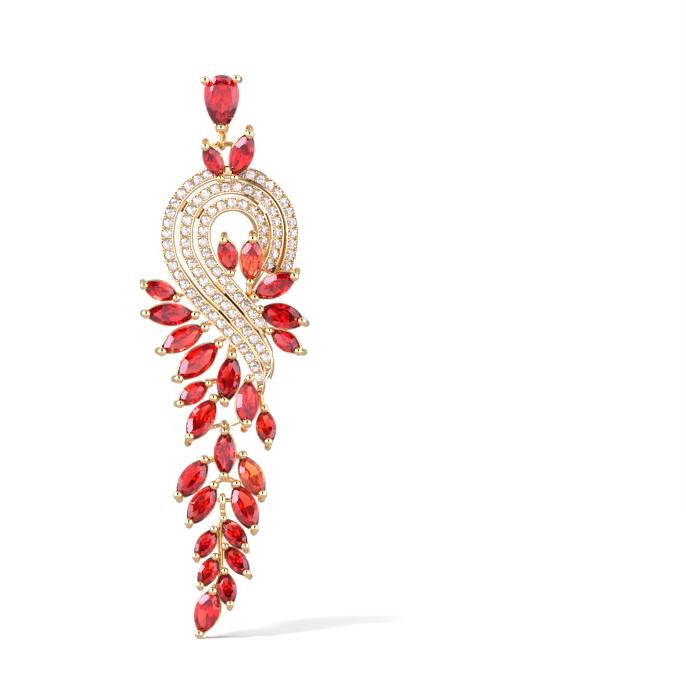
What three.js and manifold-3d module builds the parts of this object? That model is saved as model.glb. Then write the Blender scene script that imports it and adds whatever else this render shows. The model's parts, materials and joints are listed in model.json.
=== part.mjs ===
// Leaf drop earring: a pear-cut stud that carries a ribbon-loop drop with marquise leaves, a five-leaf middle
// drop and a six-leaf tail drop. Units are millimetres, +Z is up and -Y is the front. The origin is the point
// where the ear post leaves the flat back of the stud.
import * as THREE from "three";
import { ConvexGeometry } from "three/addons/geometries/ConvexGeometry.js";
import { mergeVertices } from "three/addons/utils/BufferGeometryUtils.js";
import Module from "manifold-3d";

const wasm = await Module();
wasm.setup();

// ---------------------------------------------------------------- driving dimensions

const HANG_Y = -1.6; // the vertical plane that every drop hangs in, under the stud's eye
const SMALL_LEAF = 3.0; // a leaf stone narrower than this gets the small prongs

const GIRDLE_SIDES = 6; // straight lengths in each side of a leaf stone's outline
const BALL_RADIUS = { large: 0.62, small: 0.57 };
const BALL_HEIGHT = { large: 0.75, small: 0.68 }; // centre of a prong's ball above the girdle
const BALL_NECK = 0.9; // how far below its centre a ball meets its stem, over its radius
const STEM_RADIUS = 0.34;
const PRONG_SIDES = 5;
const STEM_LEAN = 0.09; // how far a prong's stem runs outwards for each millimetre down

const GEM = {
  girdle: 0.2, // thickness of the girdle
  crown: 0.18, // crown height over stone width
  pavilion: 0.42, // pavilion depth over stone width
  table: 0.55, // table over stone width
  star: 0.8, // place of the star facets' points over stone width
  starRise: 0.54, // their height over the crown height
  lower: 0.5, // place of the lower facets' points over stone width
  lowerDrop: 0.57, // their depth over the pavilion depth
};
const STONE_TO_STEM = 0.42; // a stone's tip ends this far inside its ball's centre
const ARC_TO_STEM = 0.12; // where the outline's arcs would meet, inside the ball's centre

// A leaf's rail runs under the girdle; swell widens its few straight lengths to enclose the stone's arcs.
const RAIL = { out: 0.1, swell: 1.08, thick: 0.28, top: 0.3, depth: 0.42, start: 0.12, steps: 3 };
const FOOT = 0.6; // how far the stems reach behind the stone's culet
const HEEL = 0.15; // how far the arms and keels start in front of the stems' feet
const ARM = { width: 0.7, sides: 3 };
const KEELED_LEAVES = ["crown_left", "crown_right", "lower_left_large", "right_vertical"];

const BAND = { width: 2.0, depth: 1.6 };
const LOOP_BACK = 1.3; // how far the loop's right-hand end lies behind its left side
const LOOP_STRETCH = 1.28; // height over width of the loop's arcs below their centres
const LOOP_TWIST = 18; // degrees that the right-hand side turns its face outwards
const LOOP_TURN = { back: 110, twist: 70 }; // degrees past the loop's top over which these come in
const LOOP_STEP = 15; // degrees between the points of a loop's arc

const LINK = { radius: 1.0, wire: 0.7, z: -6.3 };
const EYE = { radius: 0.7, wire: 0.42, z: -5.3 };
const ARCH_WIRE = 0.6;
const WIRE_SIDES = 5;
const STRUT_SIDES = 4;
const RING_SIDES = { section: 5, eye: 10, link: 14, tail: 12 };
const POST_SIDES = 12;

const SOLDER_MERGE = 0.003; // detail finer than this is smoothed away where pieces meet

const POST = { diameter: 0.8, length: 10.5 };
const STUD = { plate: 0.6, plateInset: 0.2, girdleY: -2.9, ballY: -3.6, stem: 0.33, strutIn: 0.7 };
const STUD_RAIL = { y: -2.45, depth: 0.45, out: 0.2, outTipZ: -4.6, in: 0.3, inTipZ: -3.9 };
// The stud's pear: widest at wideZ, round above it and drawn out to tipZ below it.
const PEAR = { halfWidth: 2.58, wideZ: 0.8, round: 2.6, point: 5.6, power: 2.2, tipZ: -4.12 };
const PEAR_CUT = { width: 4.75, culetZ: 0.3 }; // the width that its facets' heights go by, and its culet

// ---------------------------------------------------------------- tables

const rows = (columns, table) => table.map((row) =>
  Object.fromEntries(columns.map((column, i) => [column, row[i]])));

// A leaf runs from the ball at its root to the ball at its tip, in x and z. y is the root ball's depth from
// its drop's middle plane, pitch brings the tip forward and roll turns the stone about its own length, in
// degrees. The arm runs from the foot of the root prong to the point arm.
const LEAF = ["name", "rootX", "rootZ", "tipX", "tipZ", "width", "y", "pitch", "roll", "arm"];

const MAIN_LEAVES = rows(LEAF, [
  ["crown_left", -0.13, -11.91, -2.29, -7.31, 2.6, -2.3, 20, -10, [-0.4, -0.2, -10.9]],
  ["crown_right", 1.93, -11.81, 4.22, -5.53, 3.3, -2.3, 19, 12, [2.2, -0.2, -10.8]],
  ["inner_left", 1.37, -25.71, 0.24, -20.93, 2.8, -2.1, 18, -10, [0.6, 0.2, -26.4]],
  ["inner_right", 4.2, -27.1, 4.64, -20.74, 3.35, -1.7, 17, 5, [3.9, 0.3, -28.9]],
  ["right_fan_1", 4.87, -29.35, 10.72, -26.21, 3.4, -1.7, 12, 15, [3.6, 0.2, -29.6]],
  ["right_fan_2", 5.62, -31.01, 11.87, -32.75, 3.6, -1.9, 8, -3, [4.6, 0.2, -31.2]],
  ["right_fan_3", 6.99, -34.16, 11.31, -37.16, 2.7, -1.7, 14, 10, [6.1, 0.2, -34.1]],
  ["left_fan_1", -6.6, -29.38, -11.34, -27.56, 2.8, -1.7, 8, -12, [-5.3, 0.2, -28.4]],
  ["left_fan_2", -3.88, -31.87, -11.01, -31.68, 3.3, -1.7, 8, -3, [-3.0, 0.2, -30.9]],
  ["left_fan_3", -2.43, -33.69, -8.68, -37.21, 3.25, -1.7, 8, -12, [-1.3, 0.2, -32.7]],
  ["left_fan_4", -0.37, -36.09, -6.18, -41.19, 3.7, -1.8, 8, -12, [0.8, 0.2, -34.9]],
  ["centre", 1.54, -37.72, 0.43, -44.44, 3.3, -1.9, 5, 3, [1.6, 0.2, -35.9]],
  ["lower_left_small", -1.88, -41.88, -6.04, -44.85, 2.8, -1.6, 8, -10, [-0.2, 0.8, -41.4]],
  ["lower_left_large", -1.16, -43.96, -4.59, -49.63, 3.5, -1.9, 19, 5, [-0.2, 0.8, -43.6]],
  ["right_vertical", 4.18, -41.13, 3.85, -47.66, 3.4, -2.4, 17, -12, [4.9, 0, -40.7]],
  ["far_right", 6.29, -45.51, 6.93, -50.37, 2.8, -1.6, 18, -8, [5.5, 0, -42.9]],
]);

const MIDDLE_LEAVES = rows(LEAF, [
  ["middle_centre", 0.41, -48.82, 0.29, -55.41, 3.2, -1.9, 0, 5, null],
  ["middle_upper_left", -2.56, -53.0, -6.43, -58.28, 3.4, -1.6, 6, 12, [0.3, 0.75, -52.6]],
  ["middle_upper_right", 3.1, -52.34, 6.04, -58.09, 3.3, -1.6, 10, -15, [0.4, 0.75, -51.8]],
  ["middle_lower_left", -1.16, -56.79, -4.81, -62.26, 3.3, -1.7, 6, 6, null],
  ["middle_lower_right", 2.18, -56.59, 4.91, -63.09, 3.5, -1.7, 8, -12, null],
]);

const TAIL_LEAVES = rows(LEAF, [
  ["tail_right_1", 0.25, -61.68, 3.5, -65.74, 2.8, -1.7, 12, -10, null],
  ["tail_left_1", -1.12, -63.25, -3.76, -67.24, 2.65, -1.6, 8, 10, [-0.3, 0.5, -63.4]],
  ["tail_right_2", 0.49, -65.74, 3.74, -69.65, 2.65, -1.6, 14, -4, [-0.3, 0.5, -65.6]],
  ["tail_left_2", -0.93, -67.25, -3.15, -71.47, 2.65, -1.7, 8, 6, [-0.2, 0.5, -67.3]],
  ["tail_right_3", 0.41, -69.41, 1.28, -74.22, 2.7, -1.6, 12, -8, [-0.3, 0.5, -69.3]],
  ["tail_left_3", -1.29, -72.29, -3.38, -78.75, 3.7, -1.9, -10, 7, null],
]);

// Each ribbon band starts at the loop's right-hand end at the angle from, in degrees from +X, runs over the
// top on an arc and down the left side, and then follows lowerPoints, in x and z, to its tip. It narrows from
// the share taper of its length on, and is cut into steps straight lengths.
const BANDS = rows(["centreX", "centreZ", "radius", "from", "taper", "steps", "lowerPoints"], [
  [1.06, -19.78, 9.15, -33, 0.93, 28, [[-8.04, -21.5], [-7.31, -24.3], [-5.62, -27.1], [-3.6, -29.7],
    [-1.29, -31.9], [0.84, -34.2], [3.04, -36.4], [4.74, -39.2], [5.6, -41.4], [5.5, -43.5]]],
  [1.31, -19.56, 6.66, -43, 0.93, 25, [[-5.35, -20.3], [-5.1, -22.5], [-3.71, -25.3], [-1.82, -28.1],
    [0.38, -30.3], [2.59, -32.8], [4.65, -35.3], [6.43, -38.1], [6.85, -39.6], [6.66, -41.1]]],
  [1.57, -19.71, 4.35, -24, 0.94, 19, [[-2.68, -21.4], [-1.49, -24.3], [-0.54, -25.6], [1.51, -28.1],
    [3.68, -30.5], [5.53, -32.9], [6.5, -34.5]]],
]);
const BAND_TIP = 0.35; // a band's width at its lower tip, over its full width

// Straps that join neighbouring bands across a slot, turned to the loop's radius.
const STRAPS = rows(["x", "y", "z", "angle"], [
  [-5.49, 0.1, -15.72, 149],
  [-3.19, 0.1, -16.76, 146],
  [5.75, 0.65, -16.13, 38],
  [7.65, 0.65, -25.4, -45],
]);
const STRAP = { length: 1.6, width: 1.9, depth: 1.0 };

// Wires and bars of round section, by their routes through x, y and z.
const WIRE = ["diameter", "steps", "points"];
const MAIN_WIRES = rows(WIRE, [
  // the arch that the hanging link carries
  [ARCH_WIRE, 7, [[-2.0, -1.5, -8.1], [-1.25, -0.8, -7.0], [-0.45, -0.36, -6.62], [0.45, -0.36, -6.62],
    [1.6, -0.6, -6.8], [3.2, -1.0, -7.9]]],
  // the garland bar that carries the middle drop
  [ARCH_WIRE, 7, [[-3.6, -1.1, -48.1], [-1.7, -0.6, -48.3], [-0.2, -0.36, -48.02], [0.9, -0.36, -48.02],
    [2.3, -0.8, -47.35], [3.85, -1.5, -46.9]]],
  // the spine behind the centre leaf
  [0.9, 5, [[1.6, 0.3, -35.6], [0.7, 0.8, -38.8], [-0.2, 1.0, -41.5], [-0.3, 0.9, -44.0]]],
  // plain rim beside the ribbon's lower right edge
  [0.7, 5, [[6.3, -0.2, -34.3], [7.2, -0.3, -36.4], [7.62, -0.3, -38.2], [7.35, -0.3, -39.9],
    [6.42, -0.2, -41.5]]],
  // back bars that hold the three bands together behind the diagonal
  [0.8, 1, [[-3.4, 0.9, -29.6], [-0.2, 0.9, -26.9]]],
  [0.8, 1, [[1.1, 0.9, -34.4], [4.0, 0.9, -31.2]]],
  // the bar from the middle band's right-hand end down to the diagonal
  [0.8, 1, [[5.9, 1.2, -25.1], [3.6, 0.6, -28.9]]],
]);
const MIDDLE_WIRES = rows(WIRE, [
  // the spine behind the centre leaf
  [0.6, 1, [[0.62, 0.75, -48.6], [0.5, 0.75, -55.7]]],
  // the arch between the two lower leaves
  [0.8, 6, [[-1.16, 0.1, -56.9], [-0.6, -0.2, -56.25], [0.35, -0.3, -55.98], [1.4, -0.2, -56.15],
    [2.18, 0.1, -56.8]]],
  // the low bar that carries the tail drop
  [ARCH_WIRE, 1, [[-0.8, -1.05, -59.0], [1.45, -1.05, -59.0]]],
]);
const TAIL_WIRES = rows(WIRE, [
  // the neck under the long ring
  [0.9, 1, [[0.09, -0.9, -60.3], [0.25, -0.2, -61.7]]],
  // the spine
  [1.0, 8, [[0.25, 0.1, -61.4], [-0.3, 0.6, -64.4], [-0.15, 0.6, -67.6], [-0.45, 0.5, -70.6],
    [-1.29, 0.3, -72.4]]],
]);

const MIDDLE_LOOP = { x: 0.35, z: -48.02, radius: 0.62, wire: 0.48 };
const TAIL_RING = { x: 0.09, z: -59.24, halfHeight: 1.29, halfDepth: 1.02, wire: 0.6, width: 0.8 };

// The stud's prongs stand at x and z; each leans by lean towards leanX, leanZ.
const STUD_PRONGS = rows(["x", "z", "leanX", "leanZ", "lean"], [
  [-2.4, 2.48, -0.7, 0.7, STEM_LEAN],
  [2.2, 2.72, 0.6, 0.8, STEM_LEAN],
  [-0.04, -4.5, 0, -1, 0],
]);

// Where each drop's middle plane lies behind the hanging plane, so that its weight hangs under its pivot.
const MAIN_Y = HANG_Y + 0.36;
const MIDDLE_Y = HANG_Y + 1.05;
const TAIL_Y = HANG_Y + 0.9;

// ---------------------------------------------------------------- materials

const gold = new THREE.MeshStandardMaterial({ color: "#f0c26a", roughness: 0.16, metalness: 1 });
const redStone = new THREE.MeshStandardMaterial({ color: "#c8142a", roughness: 0.05, metalness: 0 });
const orangeStone = new THREE.MeshStandardMaterial({ color: "#f0501e", roughness: 0.05, metalness: 0 });
const ORANGE_LEAVES = ["inner_right", "middle_upper_right"];

// ---------------------------------------------------------------- small helpers

const degrees = THREE.MathUtils.degToRad;

// A closed three.js geometry as a solid.
function toSolid(geometry) {
  const bare = geometry.index ? geometry.toNonIndexed() : geometry.clone();
  for (const name of Object.keys(bare.attributes)) if (name !== "position") bare.deleteAttribute(name);
  const merged = mergeVertices(bare, 1e-4);
  return new wasm.Manifold(new wasm.Mesh({
    numProp: 3,
    vertProperties: merged.attributes.position.array,
    triVerts: new Uint32Array(merged.index.array),
  }));
}

// A solid as a three.js geometry.
function toGeometry(solid) {
  const mesh = solid.getMesh();
  const geometry = new THREE.BufferGeometry();
  geometry.setAttribute("position", new THREE.BufferAttribute(new Float32Array(mesh.vertProperties), 3));
  geometry.setIndex(new THREE.BufferAttribute(new Uint32Array(mesh.triVerts), 1));
  geometry.computeVertexNormals();
  return geometry;
}

// Soldered metal: the union of closed geometries.
function solder(geometries) {
  let solid = toSolid(geometries[0]);
  for (const geometry of geometries.slice(1)) solid = solid.add(toSolid(geometry));
  return toGeometry(solid.simplify(SOLDER_MERGE));
}

function named(name, geometry, material) {
  const mesh = new THREE.Mesh(geometry, material);
  mesh.name = name;
  return mesh;
}

// A bar of the given section along points, with flat ends.
function bar(points, section, steps) {
  const extrudePath = new THREE.CatmullRomCurve3(points.map((point) => new THREE.Vector3(...point)));
  return new THREE.ExtrudeGeometry(new THREE.Shape(section), { steps, extrudePath, bevelEnabled: false });
}

// The corners of a round section.
function circle(radius, sides) {
  return Array.from({ length: sides }, (_, i) => {
    const angle = (2 * Math.PI * (i + 0.5)) / sides;
    return new THREE.Vector2(radius * Math.cos(angle), radius * Math.sin(angle));
  });
}

// A flat plate or ring of the given outline, between two heights along its own z.
function plate(outline, hole, low, high) {
  const shape = new THREE.Shape(outline);
  if (hole) shape.holes.push(new THREE.Path(hole));
  return new THREE.ExtrudeGeometry(shape, { depth: high - low, bevelEnabled: false }).translate(0, 0, low);
}

// ---------------------------------------------------------------- stones

// Half the width of a leaf outline of two arcs, at the distance u from its middle.
function leafHalfWidth(u, halfLength, halfWidth) {
  const radius = (halfLength ** 2 + halfWidth ** 2) / (2 * halfWidth);
  return Math.sqrt(radius ** 2 - u ** 2) - (radius - halfWidth);
}

// The outline of a leaf from its +x tip round to it again, with 2 * sides corners.
function leafOutline(halfLength, halfWidth, sides, arcHalfLength = halfLength) {
  const corners = [];
  for (let i = 0; i < 2 * sides; i++) {
    const along = i <= sides ? 1 - (2 * i) / sides : (2 * i) / sides - 3;
    const u = along * halfLength;
    const tip = i % sides === 0;
    const v = tip ? 0 : leafHalfWidth(u, arcHalfLength, halfWidth) * (i < sides ? 1 : -1);
    corners.push(new THREE.Vector2(u, v));
  }
  return corners;
}

// A pear outline from its lower tip round to it again, in x and z, with 16 corners; grow moves it outwards.
function pearOutline(grow = 0, tipZ = PEAR.tipZ) {
  const half = PEAR.halfWidth + grow;
  const side = [];
  for (let i = 1; i < 4; i++) {
    const z = tipZ + ((PEAR.wideZ - tipZ) * i) / 4;
    const x = half * (1 - ((PEAR.wideZ - z) / (PEAR.point + grow)) ** PEAR.power);
    side.push(new THREE.Vector2(x, z));
  }
  const top = [];
  for (let i = 0; i <= 8; i++) {
    const angle = (Math.PI * i) / 8;
    top.push(new THREE.Vector2(half * Math.cos(angle), PEAR.wideZ + (PEAR.round + grow) * Math.sin(angle)));
  }
  const otherSide = side.map((corner) => new THREE.Vector2(-corner.x, corner.y)).reverse();
  return [new THREE.Vector2(0, tipZ), ...side, ...top, ...otherSide];
}

// A brilliant-cut stone on a girdle of 12 or 16 corners: a table, star, bezel and upper facets above it, and
// main and lower facets down to a culet under the point middle. The girdle lies in z = 0, the table faces +z.
function cutStone(girdle, width, middle = new THREE.Vector2()) {
  const ring = (corners, scale, z) =>
    corners.map((corner) => {
      const flat = middle.clone().lerp(corner, scale);
      return new THREE.Vector3(flat.x, flat.y, z);
    });
  const even = girdle.filter((_, i) => i % 2 === 0);
  const odd = girdle.filter((_, i) => i % 2 === 1);
  const crown = GEM.crown * width;
  const pavilion = GEM.pavilion * width;
  const edge = GEM.girdle / 2;
  return new ConvexGeometry([
    ...ring(even, GEM.table, edge + crown),
    ...ring(odd, GEM.star, edge + GEM.starRise * crown),
    ...ring(girdle, 1, edge),
    ...ring(girdle, 1, -edge),
    ...ring(odd, GEM.lower, -edge - GEM.lowerDrop * pavilion),
    new THREE.Vector3(middle.x, middle.y, -edge - pavilion),
  ]);
}

// ---------------------------------------------------------------- leaf settings

// A prong: a stem that ends in a ball, along +z, with the ball's centre at height and the foot at -foot. It
// leans outwards, towards +x for side = 1, from the ball down.
function prong(ball, height, foot, stem, side, lean) {
  const corner = ball * Math.SQRT1_2;
  const profile = [
    new THREE.Vector2(0, -foot),
    new THREE.Vector2(stem, -foot),
    new THREE.Vector2(stem, height - BALL_NECK * ball),
    new THREE.Vector2(ball, height),
    new THREE.Vector2(corner, height + corner),
    new THREE.Vector2(0, height + ball),
  ];
  const geometry = new THREE.LatheGeometry(profile, PRONG_SIDES).rotateX(Math.PI / 2);
  const shear = new THREE.Matrix4().makeShear(0, 0, 0, 0, -side * lean, 0);
  return geometry.applyMatrix4(shear).translate(side * lean * height, 0, 0);
}

// What a leaf's sizes come to: its length between ball centres, its prongs and how deep its feet lie.
function leafSizes(leaf) {
  const kind = leaf.width < SMALL_LEAF ? "small" : "large";
  const flat = Math.hypot(leaf.tipX - leaf.rootX, leaf.tipZ - leaf.rootZ);
  return {
    length: flat / Math.cos(degrees(leaf.pitch)),
    ball: BALL_RADIUS[kind],
    height: BALL_HEIGHT[kind],
    foot: GEM.girdle / 2 + GEM.pavilion * leaf.width + FOOT,
  };
}

// A leaf's own frame in its drop: x from root to tip, z towards its front, origin mid-girdle.
function leafFrame(leaf) {
  const { height, length } = leafSizes(leaf);
  const root = new THREE.Vector3(leaf.rootX, leaf.y, leaf.rootZ);
  const tip = new THREE.Vector3(leaf.tipX, leaf.y - length * Math.sin(degrees(leaf.pitch)), leaf.tipZ);
  const along = tip.clone().sub(root).normalize();
  const front = new THREE.Vector3(0, -1, 0);
  front.addScaledVector(along, -front.dot(along)).normalize().applyAxisAngle(along, degrees(leaf.roll));
  const across = front.clone().cross(along);
  const middle = root.clone().add(tip).multiplyScalar(0.5).addScaledVector(front, -height);
  return new THREE.Matrix4().makeBasis(along, across, front).setPosition(middle);
}

function leafStone(leaf) {
  const half = leafSizes(leaf).length / 2;
  const outline = leafOutline(half - STONE_TO_STEM, leaf.width / 2, GIRDLE_SIDES, half - ARC_TO_STEM);
  return cutStone(outline, leaf.width);
}

// One side of a leaf's rail, from the root stem round to the tip stem.
function railSide(half, width, side) {
  const points = [];
  for (let i = -RAIL.steps; i <= RAIL.steps; i += 2) {
    const u = (i / RAIL.steps) * half;
    const bulge = leafHalfWidth(u, half, (width / 2) * RAIL.swell + RAIL.out - RAIL.start);
    points.push([u, side * (RAIL.start + bulge), -RAIL.top - RAIL.depth / 2]);
  }
  const [deep, thick] = [RAIL.depth / 2, RAIL.thick / 2];
  const section = [[-deep, -thick], [deep, -thick], [0, thick]];
  return bar(points, section.map(([x, y]) => new THREE.Vector2(x, y)), RAIL.steps);
}

// The pieces of a leaf's setting, in its drop's frame: two prongs, the two sides of its rail, a keel behind
// the stone for some, and the arm.
function leafSetting(leaf) {
  const { length, ball, height, foot } = leafSizes(leaf);
  const half = length / 2;
  const stemAt = (z) => half + STEM_LEAN * (height - z);
  const pieces = [
    prong(ball, height, foot, STEM_RADIUS, -1, STEM_LEAN).translate(-half, 0, 0),
    prong(ball, height, foot, STEM_RADIUS, 1, STEM_LEAN).translate(half, 0, 0),
    railSide(stemAt(-RAIL.top - RAIL.depth / 2), leaf.width, -1),
    railSide(stemAt(-RAIL.top - RAIL.depth / 2), leaf.width, 1),
  ];
  const section = circle(ARM.width / 2, ARM.sides);
  const heel = new THREE.Vector3(-stemAt(-foot), 0, HEEL - foot);
  if (KEELED_LEAVES.includes(leaf.name)) {
    pieces.push(bar([heel.toArray(), [-heel.x, 0, heel.z]], section, 1));
  }
  const frame = leafFrame(leaf);
  pieces.forEach((piece) => piece.applyMatrix4(frame));
  if (leaf.arm) pieces.push(bar([heel.applyMatrix4(frame).toArray(), leaf.arm], section, 1));
  return pieces;
}

// ---------------------------------------------------------------- ribbon

// The centre line of a band with its twist: points in x, y and z, and the angle of each in degrees.
function bandRoute(band) {
  const points = [];
  const twists = [];
  for (let angle = band.from; angle < 180; angle += LOOP_STEP) {
    const right = THREE.MathUtils.smoothstep(90 - angle, 0, LOOP_TURN.back);
    points.push(new THREE.Vector3(
      band.centreX + band.radius * Math.cos(degrees(angle)),
      LOOP_BACK * right,
      band.centreZ + band.radius * Math.sin(degrees(angle)) * (angle < 0 ? LOOP_STRETCH : 1),
    ));
    twists.push(LOOP_TWIST * THREE.MathUtils.smoothstep(90 - angle, 0, LOOP_TURN.twist));
  }
  for (const [x, z] of band.lowerPoints) {
    points.push(new THREE.Vector3(x, 0, z));
    twists.push(0);
  }
  return { curve: new THREE.CatmullRomCurve3(points), twists };
}

// A band of the ribbon: a long box bent along its route, which narrows to its lower tip.
function ribbonBand(band) {
  const { curve, twists } = bandRoute(band);
  const geometry = new THREE.BoxGeometry(1, BAND.width, BAND.depth, band.steps, 1, 1);
  const corners = geometry.attributes.position;
  const place = new THREE.Vector3();
  for (let i = 0; i < corners.count; i++) {
    const t = corners.getX(i) + 0.5;
    const u = curve.getUtoTmapping(t) * (twists.length - 1);
    const next = Math.min(Math.ceil(u), twists.length - 1);
    const twist = THREE.MathUtils.lerp(twists[Math.floor(u)], twists[next], u % 1);
    const along = curve.getTangentAt(t);
    const front = new THREE.Vector3(0, -1, 0);
    front.addScaledVector(along, -front.dot(along)).normalize().applyAxisAngle(along, degrees(twist));
    const across = front.clone().cross(along);
    const narrow = THREE.MathUtils.lerp(1, BAND_TIP, Math.max((t - band.taper) / (1 - band.taper), 0));
    place.copy(curve.getPointAt(t));
    place.addScaledVector(across, corners.getY(i) * narrow).addScaledVector(front, corners.getZ(i));
    corners.setXYZ(i, place.x, place.y, place.z);
  }
  return geometry;
}

function strap(row) {
  return new THREE.BoxGeometry(STRAP.length, STRAP.depth, STRAP.width)
    .rotateY(-degrees(row.angle))
    .translate(row.x, row.y, row.z);
}

// ---------------------------------------------------------------- stud, links and drops

function studSetting() {
  const foot = STUD.plate / 2;
  const pieces = [
    plate(pearOutline(-STUD.plateInset), null, 0, STUD.plate),
    plate(
      pearOutline(STUD_RAIL.out, STUD_RAIL.outTipZ),
      pearOutline(-STUD_RAIL.in, STUD_RAIL.inTipZ),
      -STUD_RAIL.y - STUD_RAIL.depth,
      -STUD_RAIL.y,
    ),
  ];
  pieces.forEach((piece) => piece.rotateX(Math.PI / 2));
  for (const row of STUD_PRONGS) {
    const turn = Math.atan2(row.leanZ, row.leanX);
    const piece = prong(BALL_RADIUS.large, -STUD.ballY, -foot, STUD.stem, 1, row.lean);
    piece.rotateZ(turn).rotateX(Math.PI / 2).translate(row.x, 0, row.z);
    pieces.push(piece);
    const heel = [row.x + STUD.stem * row.leanX, -foot, row.z + STUD.stem * row.leanZ];
    const inside = [row.x * STUD.strutIn, -foot, THREE.MathUtils.lerp(PEAR.wideZ, row.z, STUD.strutIn)];
    pieces.push(bar([heel, inside], circle(foot, STRUT_SIDES), 1));
  }
  pieces.push(new THREE.TorusGeometry(EYE.radius, EYE.wire / 2, RING_SIDES.section, RING_SIDES.eye)
    .rotateX(Math.PI / 2)
    .translate(0, HANG_Y, EYE.z));
  pieces.push(new THREE.CylinderGeometry(POST.diameter / 2, POST.diameter / 2, POST.length + foot, POST_SIDES)
    .translate(0, (POST.length - foot) / 2, 0));
  return solder(pieces);
}

function studStone() {
  return cutStone(pearOutline(), PEAR_CUT.width, new THREE.Vector2(0, PEAR_CUT.culetZ)).rotateX(Math.PI / 2);
}

function hangingLink() {
  return new THREE.TorusGeometry(LINK.radius, LINK.wire / 2, RING_SIDES.section, RING_SIDES.link)
    .rotateY(Math.PI / 2);
}

// The loop at the top of the middle drop, round the garland bar.
function middleLoop() {
  return new THREE.TorusGeometry(MIDDLE_LOOP.radius, MIDDLE_LOOP.wire / 2, RING_SIDES.section, RING_SIDES.eye)
    .rotateY(Math.PI / 2)
    .translate(MIDDLE_LOOP.x, HANG_Y - MIDDLE_Y, MIDDLE_LOOP.z);
}

// The long ring at the top of the tail drop, round the middle drop's low bar.
function longRing() {
  const unit = circle(1, RING_SIDES.tail);
  const oval = (deep, high) => unit.map((corner) => new THREE.Vector2(corner.x * deep, corner.y * high));
  const { x, z, halfHeight, halfDepth, wire, width } = TAIL_RING;
  return plate(oval(halfDepth, halfHeight), oval(halfDepth - wire, halfHeight - wire), -width / 2, width / 2)
    .rotateY(Math.PI / 2)
    .rotateX(Math.PI / 2)
    .translate(x, HANG_Y - TAIL_Y, z);
}

function addStones(group, leaves) {
  for (const leaf of leaves) {
    const material = ORANGE_LEAVES.includes(leaf.name) ? orangeStone : redStone;
    const stone = named(`${leaf.name}_stone`, leafStone(leaf), material);
    leafFrame(leaf).decompose(stone.position, stone.quaternion, stone.scale);
    group.add(stone);
  }
}

function drop(name, leaves, pieces, y) {
  const group = new THREE.Group();
  group.position.y = y;
  group.add(named(name, solder([...pieces, ...leaves.flatMap(leafSetting)]), gold));
  addStones(group, leaves);
  return group;
}

const wires = (table) => table.map((row) => bar(row.points, circle(row.diameter / 2, WIRE_SIDES), row.steps));

const earring = new THREE.Group();
earring.name = "leaf_drop_earring";

earring.add(named("stud_setting", studSetting(), gold));
const pear = named("stud_stone", studStone(), redStone);
pear.position.y = STUD.girdleY;
earring.add(pear);

const link = named("hanging_link", hangingLink(), gold);
link.position.set(0, HANG_Y, LINK.z);
earring.add(link);

earring.add(drop("main_frame", MAIN_LEAVES, [
  ...BANDS.map(ribbonBand),
  ...STRAPS.map(strap),
  ...wires(MAIN_WIRES),
], MAIN_Y));

earring.add(drop("middle_frame", MIDDLE_LEAVES, [middleLoop(), ...wires(MIDDLE_WIRES)], MIDDLE_Y));
earring.add(drop("tail_frame", TAIL_LEAVES, [longRing(), ...wires(TAIL_WIRES)], TAIL_Y));

export default earring;
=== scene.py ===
"""Leaf drop earring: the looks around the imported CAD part, laid out as a Blender add-on.

Lengths inside the builders are millimetres in the part's own frame (+Z up, -Y the jewelled front). Each
finished piece is scaled to metres once, in finish_piece.
"""
import json
import random
from collections import namedtuple
from math import asin, atan2, copysign, cos, degrees, hypot, pi, radians, sin, sqrt, tau
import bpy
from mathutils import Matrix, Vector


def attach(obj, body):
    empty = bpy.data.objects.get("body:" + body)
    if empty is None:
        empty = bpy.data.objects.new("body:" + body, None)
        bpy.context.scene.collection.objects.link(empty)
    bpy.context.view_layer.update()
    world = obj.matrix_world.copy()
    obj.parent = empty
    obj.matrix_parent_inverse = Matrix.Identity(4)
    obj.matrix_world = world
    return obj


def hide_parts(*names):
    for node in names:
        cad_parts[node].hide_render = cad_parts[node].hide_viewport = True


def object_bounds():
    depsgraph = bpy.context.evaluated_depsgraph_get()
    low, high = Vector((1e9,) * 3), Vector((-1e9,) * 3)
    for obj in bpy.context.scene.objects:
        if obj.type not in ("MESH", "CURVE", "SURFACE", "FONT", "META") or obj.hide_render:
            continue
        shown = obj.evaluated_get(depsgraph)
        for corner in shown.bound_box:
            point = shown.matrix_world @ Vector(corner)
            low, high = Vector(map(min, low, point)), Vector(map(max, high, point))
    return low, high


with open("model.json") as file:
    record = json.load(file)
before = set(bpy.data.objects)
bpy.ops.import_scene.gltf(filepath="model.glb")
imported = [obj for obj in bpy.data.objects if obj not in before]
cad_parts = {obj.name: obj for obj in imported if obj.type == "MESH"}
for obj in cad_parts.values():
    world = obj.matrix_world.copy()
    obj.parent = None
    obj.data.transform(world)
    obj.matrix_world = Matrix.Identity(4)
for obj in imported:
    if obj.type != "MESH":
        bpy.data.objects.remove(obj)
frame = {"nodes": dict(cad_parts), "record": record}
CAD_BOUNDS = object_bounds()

from types import SimpleNamespace as Sizes

import bmesh
import bpy
from bpy.props import FloatProperty, FloatVectorProperty, PointerProperty
from mathutils import Matrix, Vector
from mathutils.geometry import interpolate_bezier

bl_info = {
    "name": "Leaf drop earring",
    "version": (1, 0, 0),
    "blender": (4, 5, 0),
    "location": "View3D > Sidebar > Earring",
    "description": "Stones, settings, ribbon, links and studio of a leaf drop earring",
    "category": "Object",
}

MM = 0.001
WHITE = (1.0, 1.0, 1.0, 1.0)
BODIES = frame["record"]["behaviour"]["bodies"]

# --- the part's own sizes, in millimetres

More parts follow.
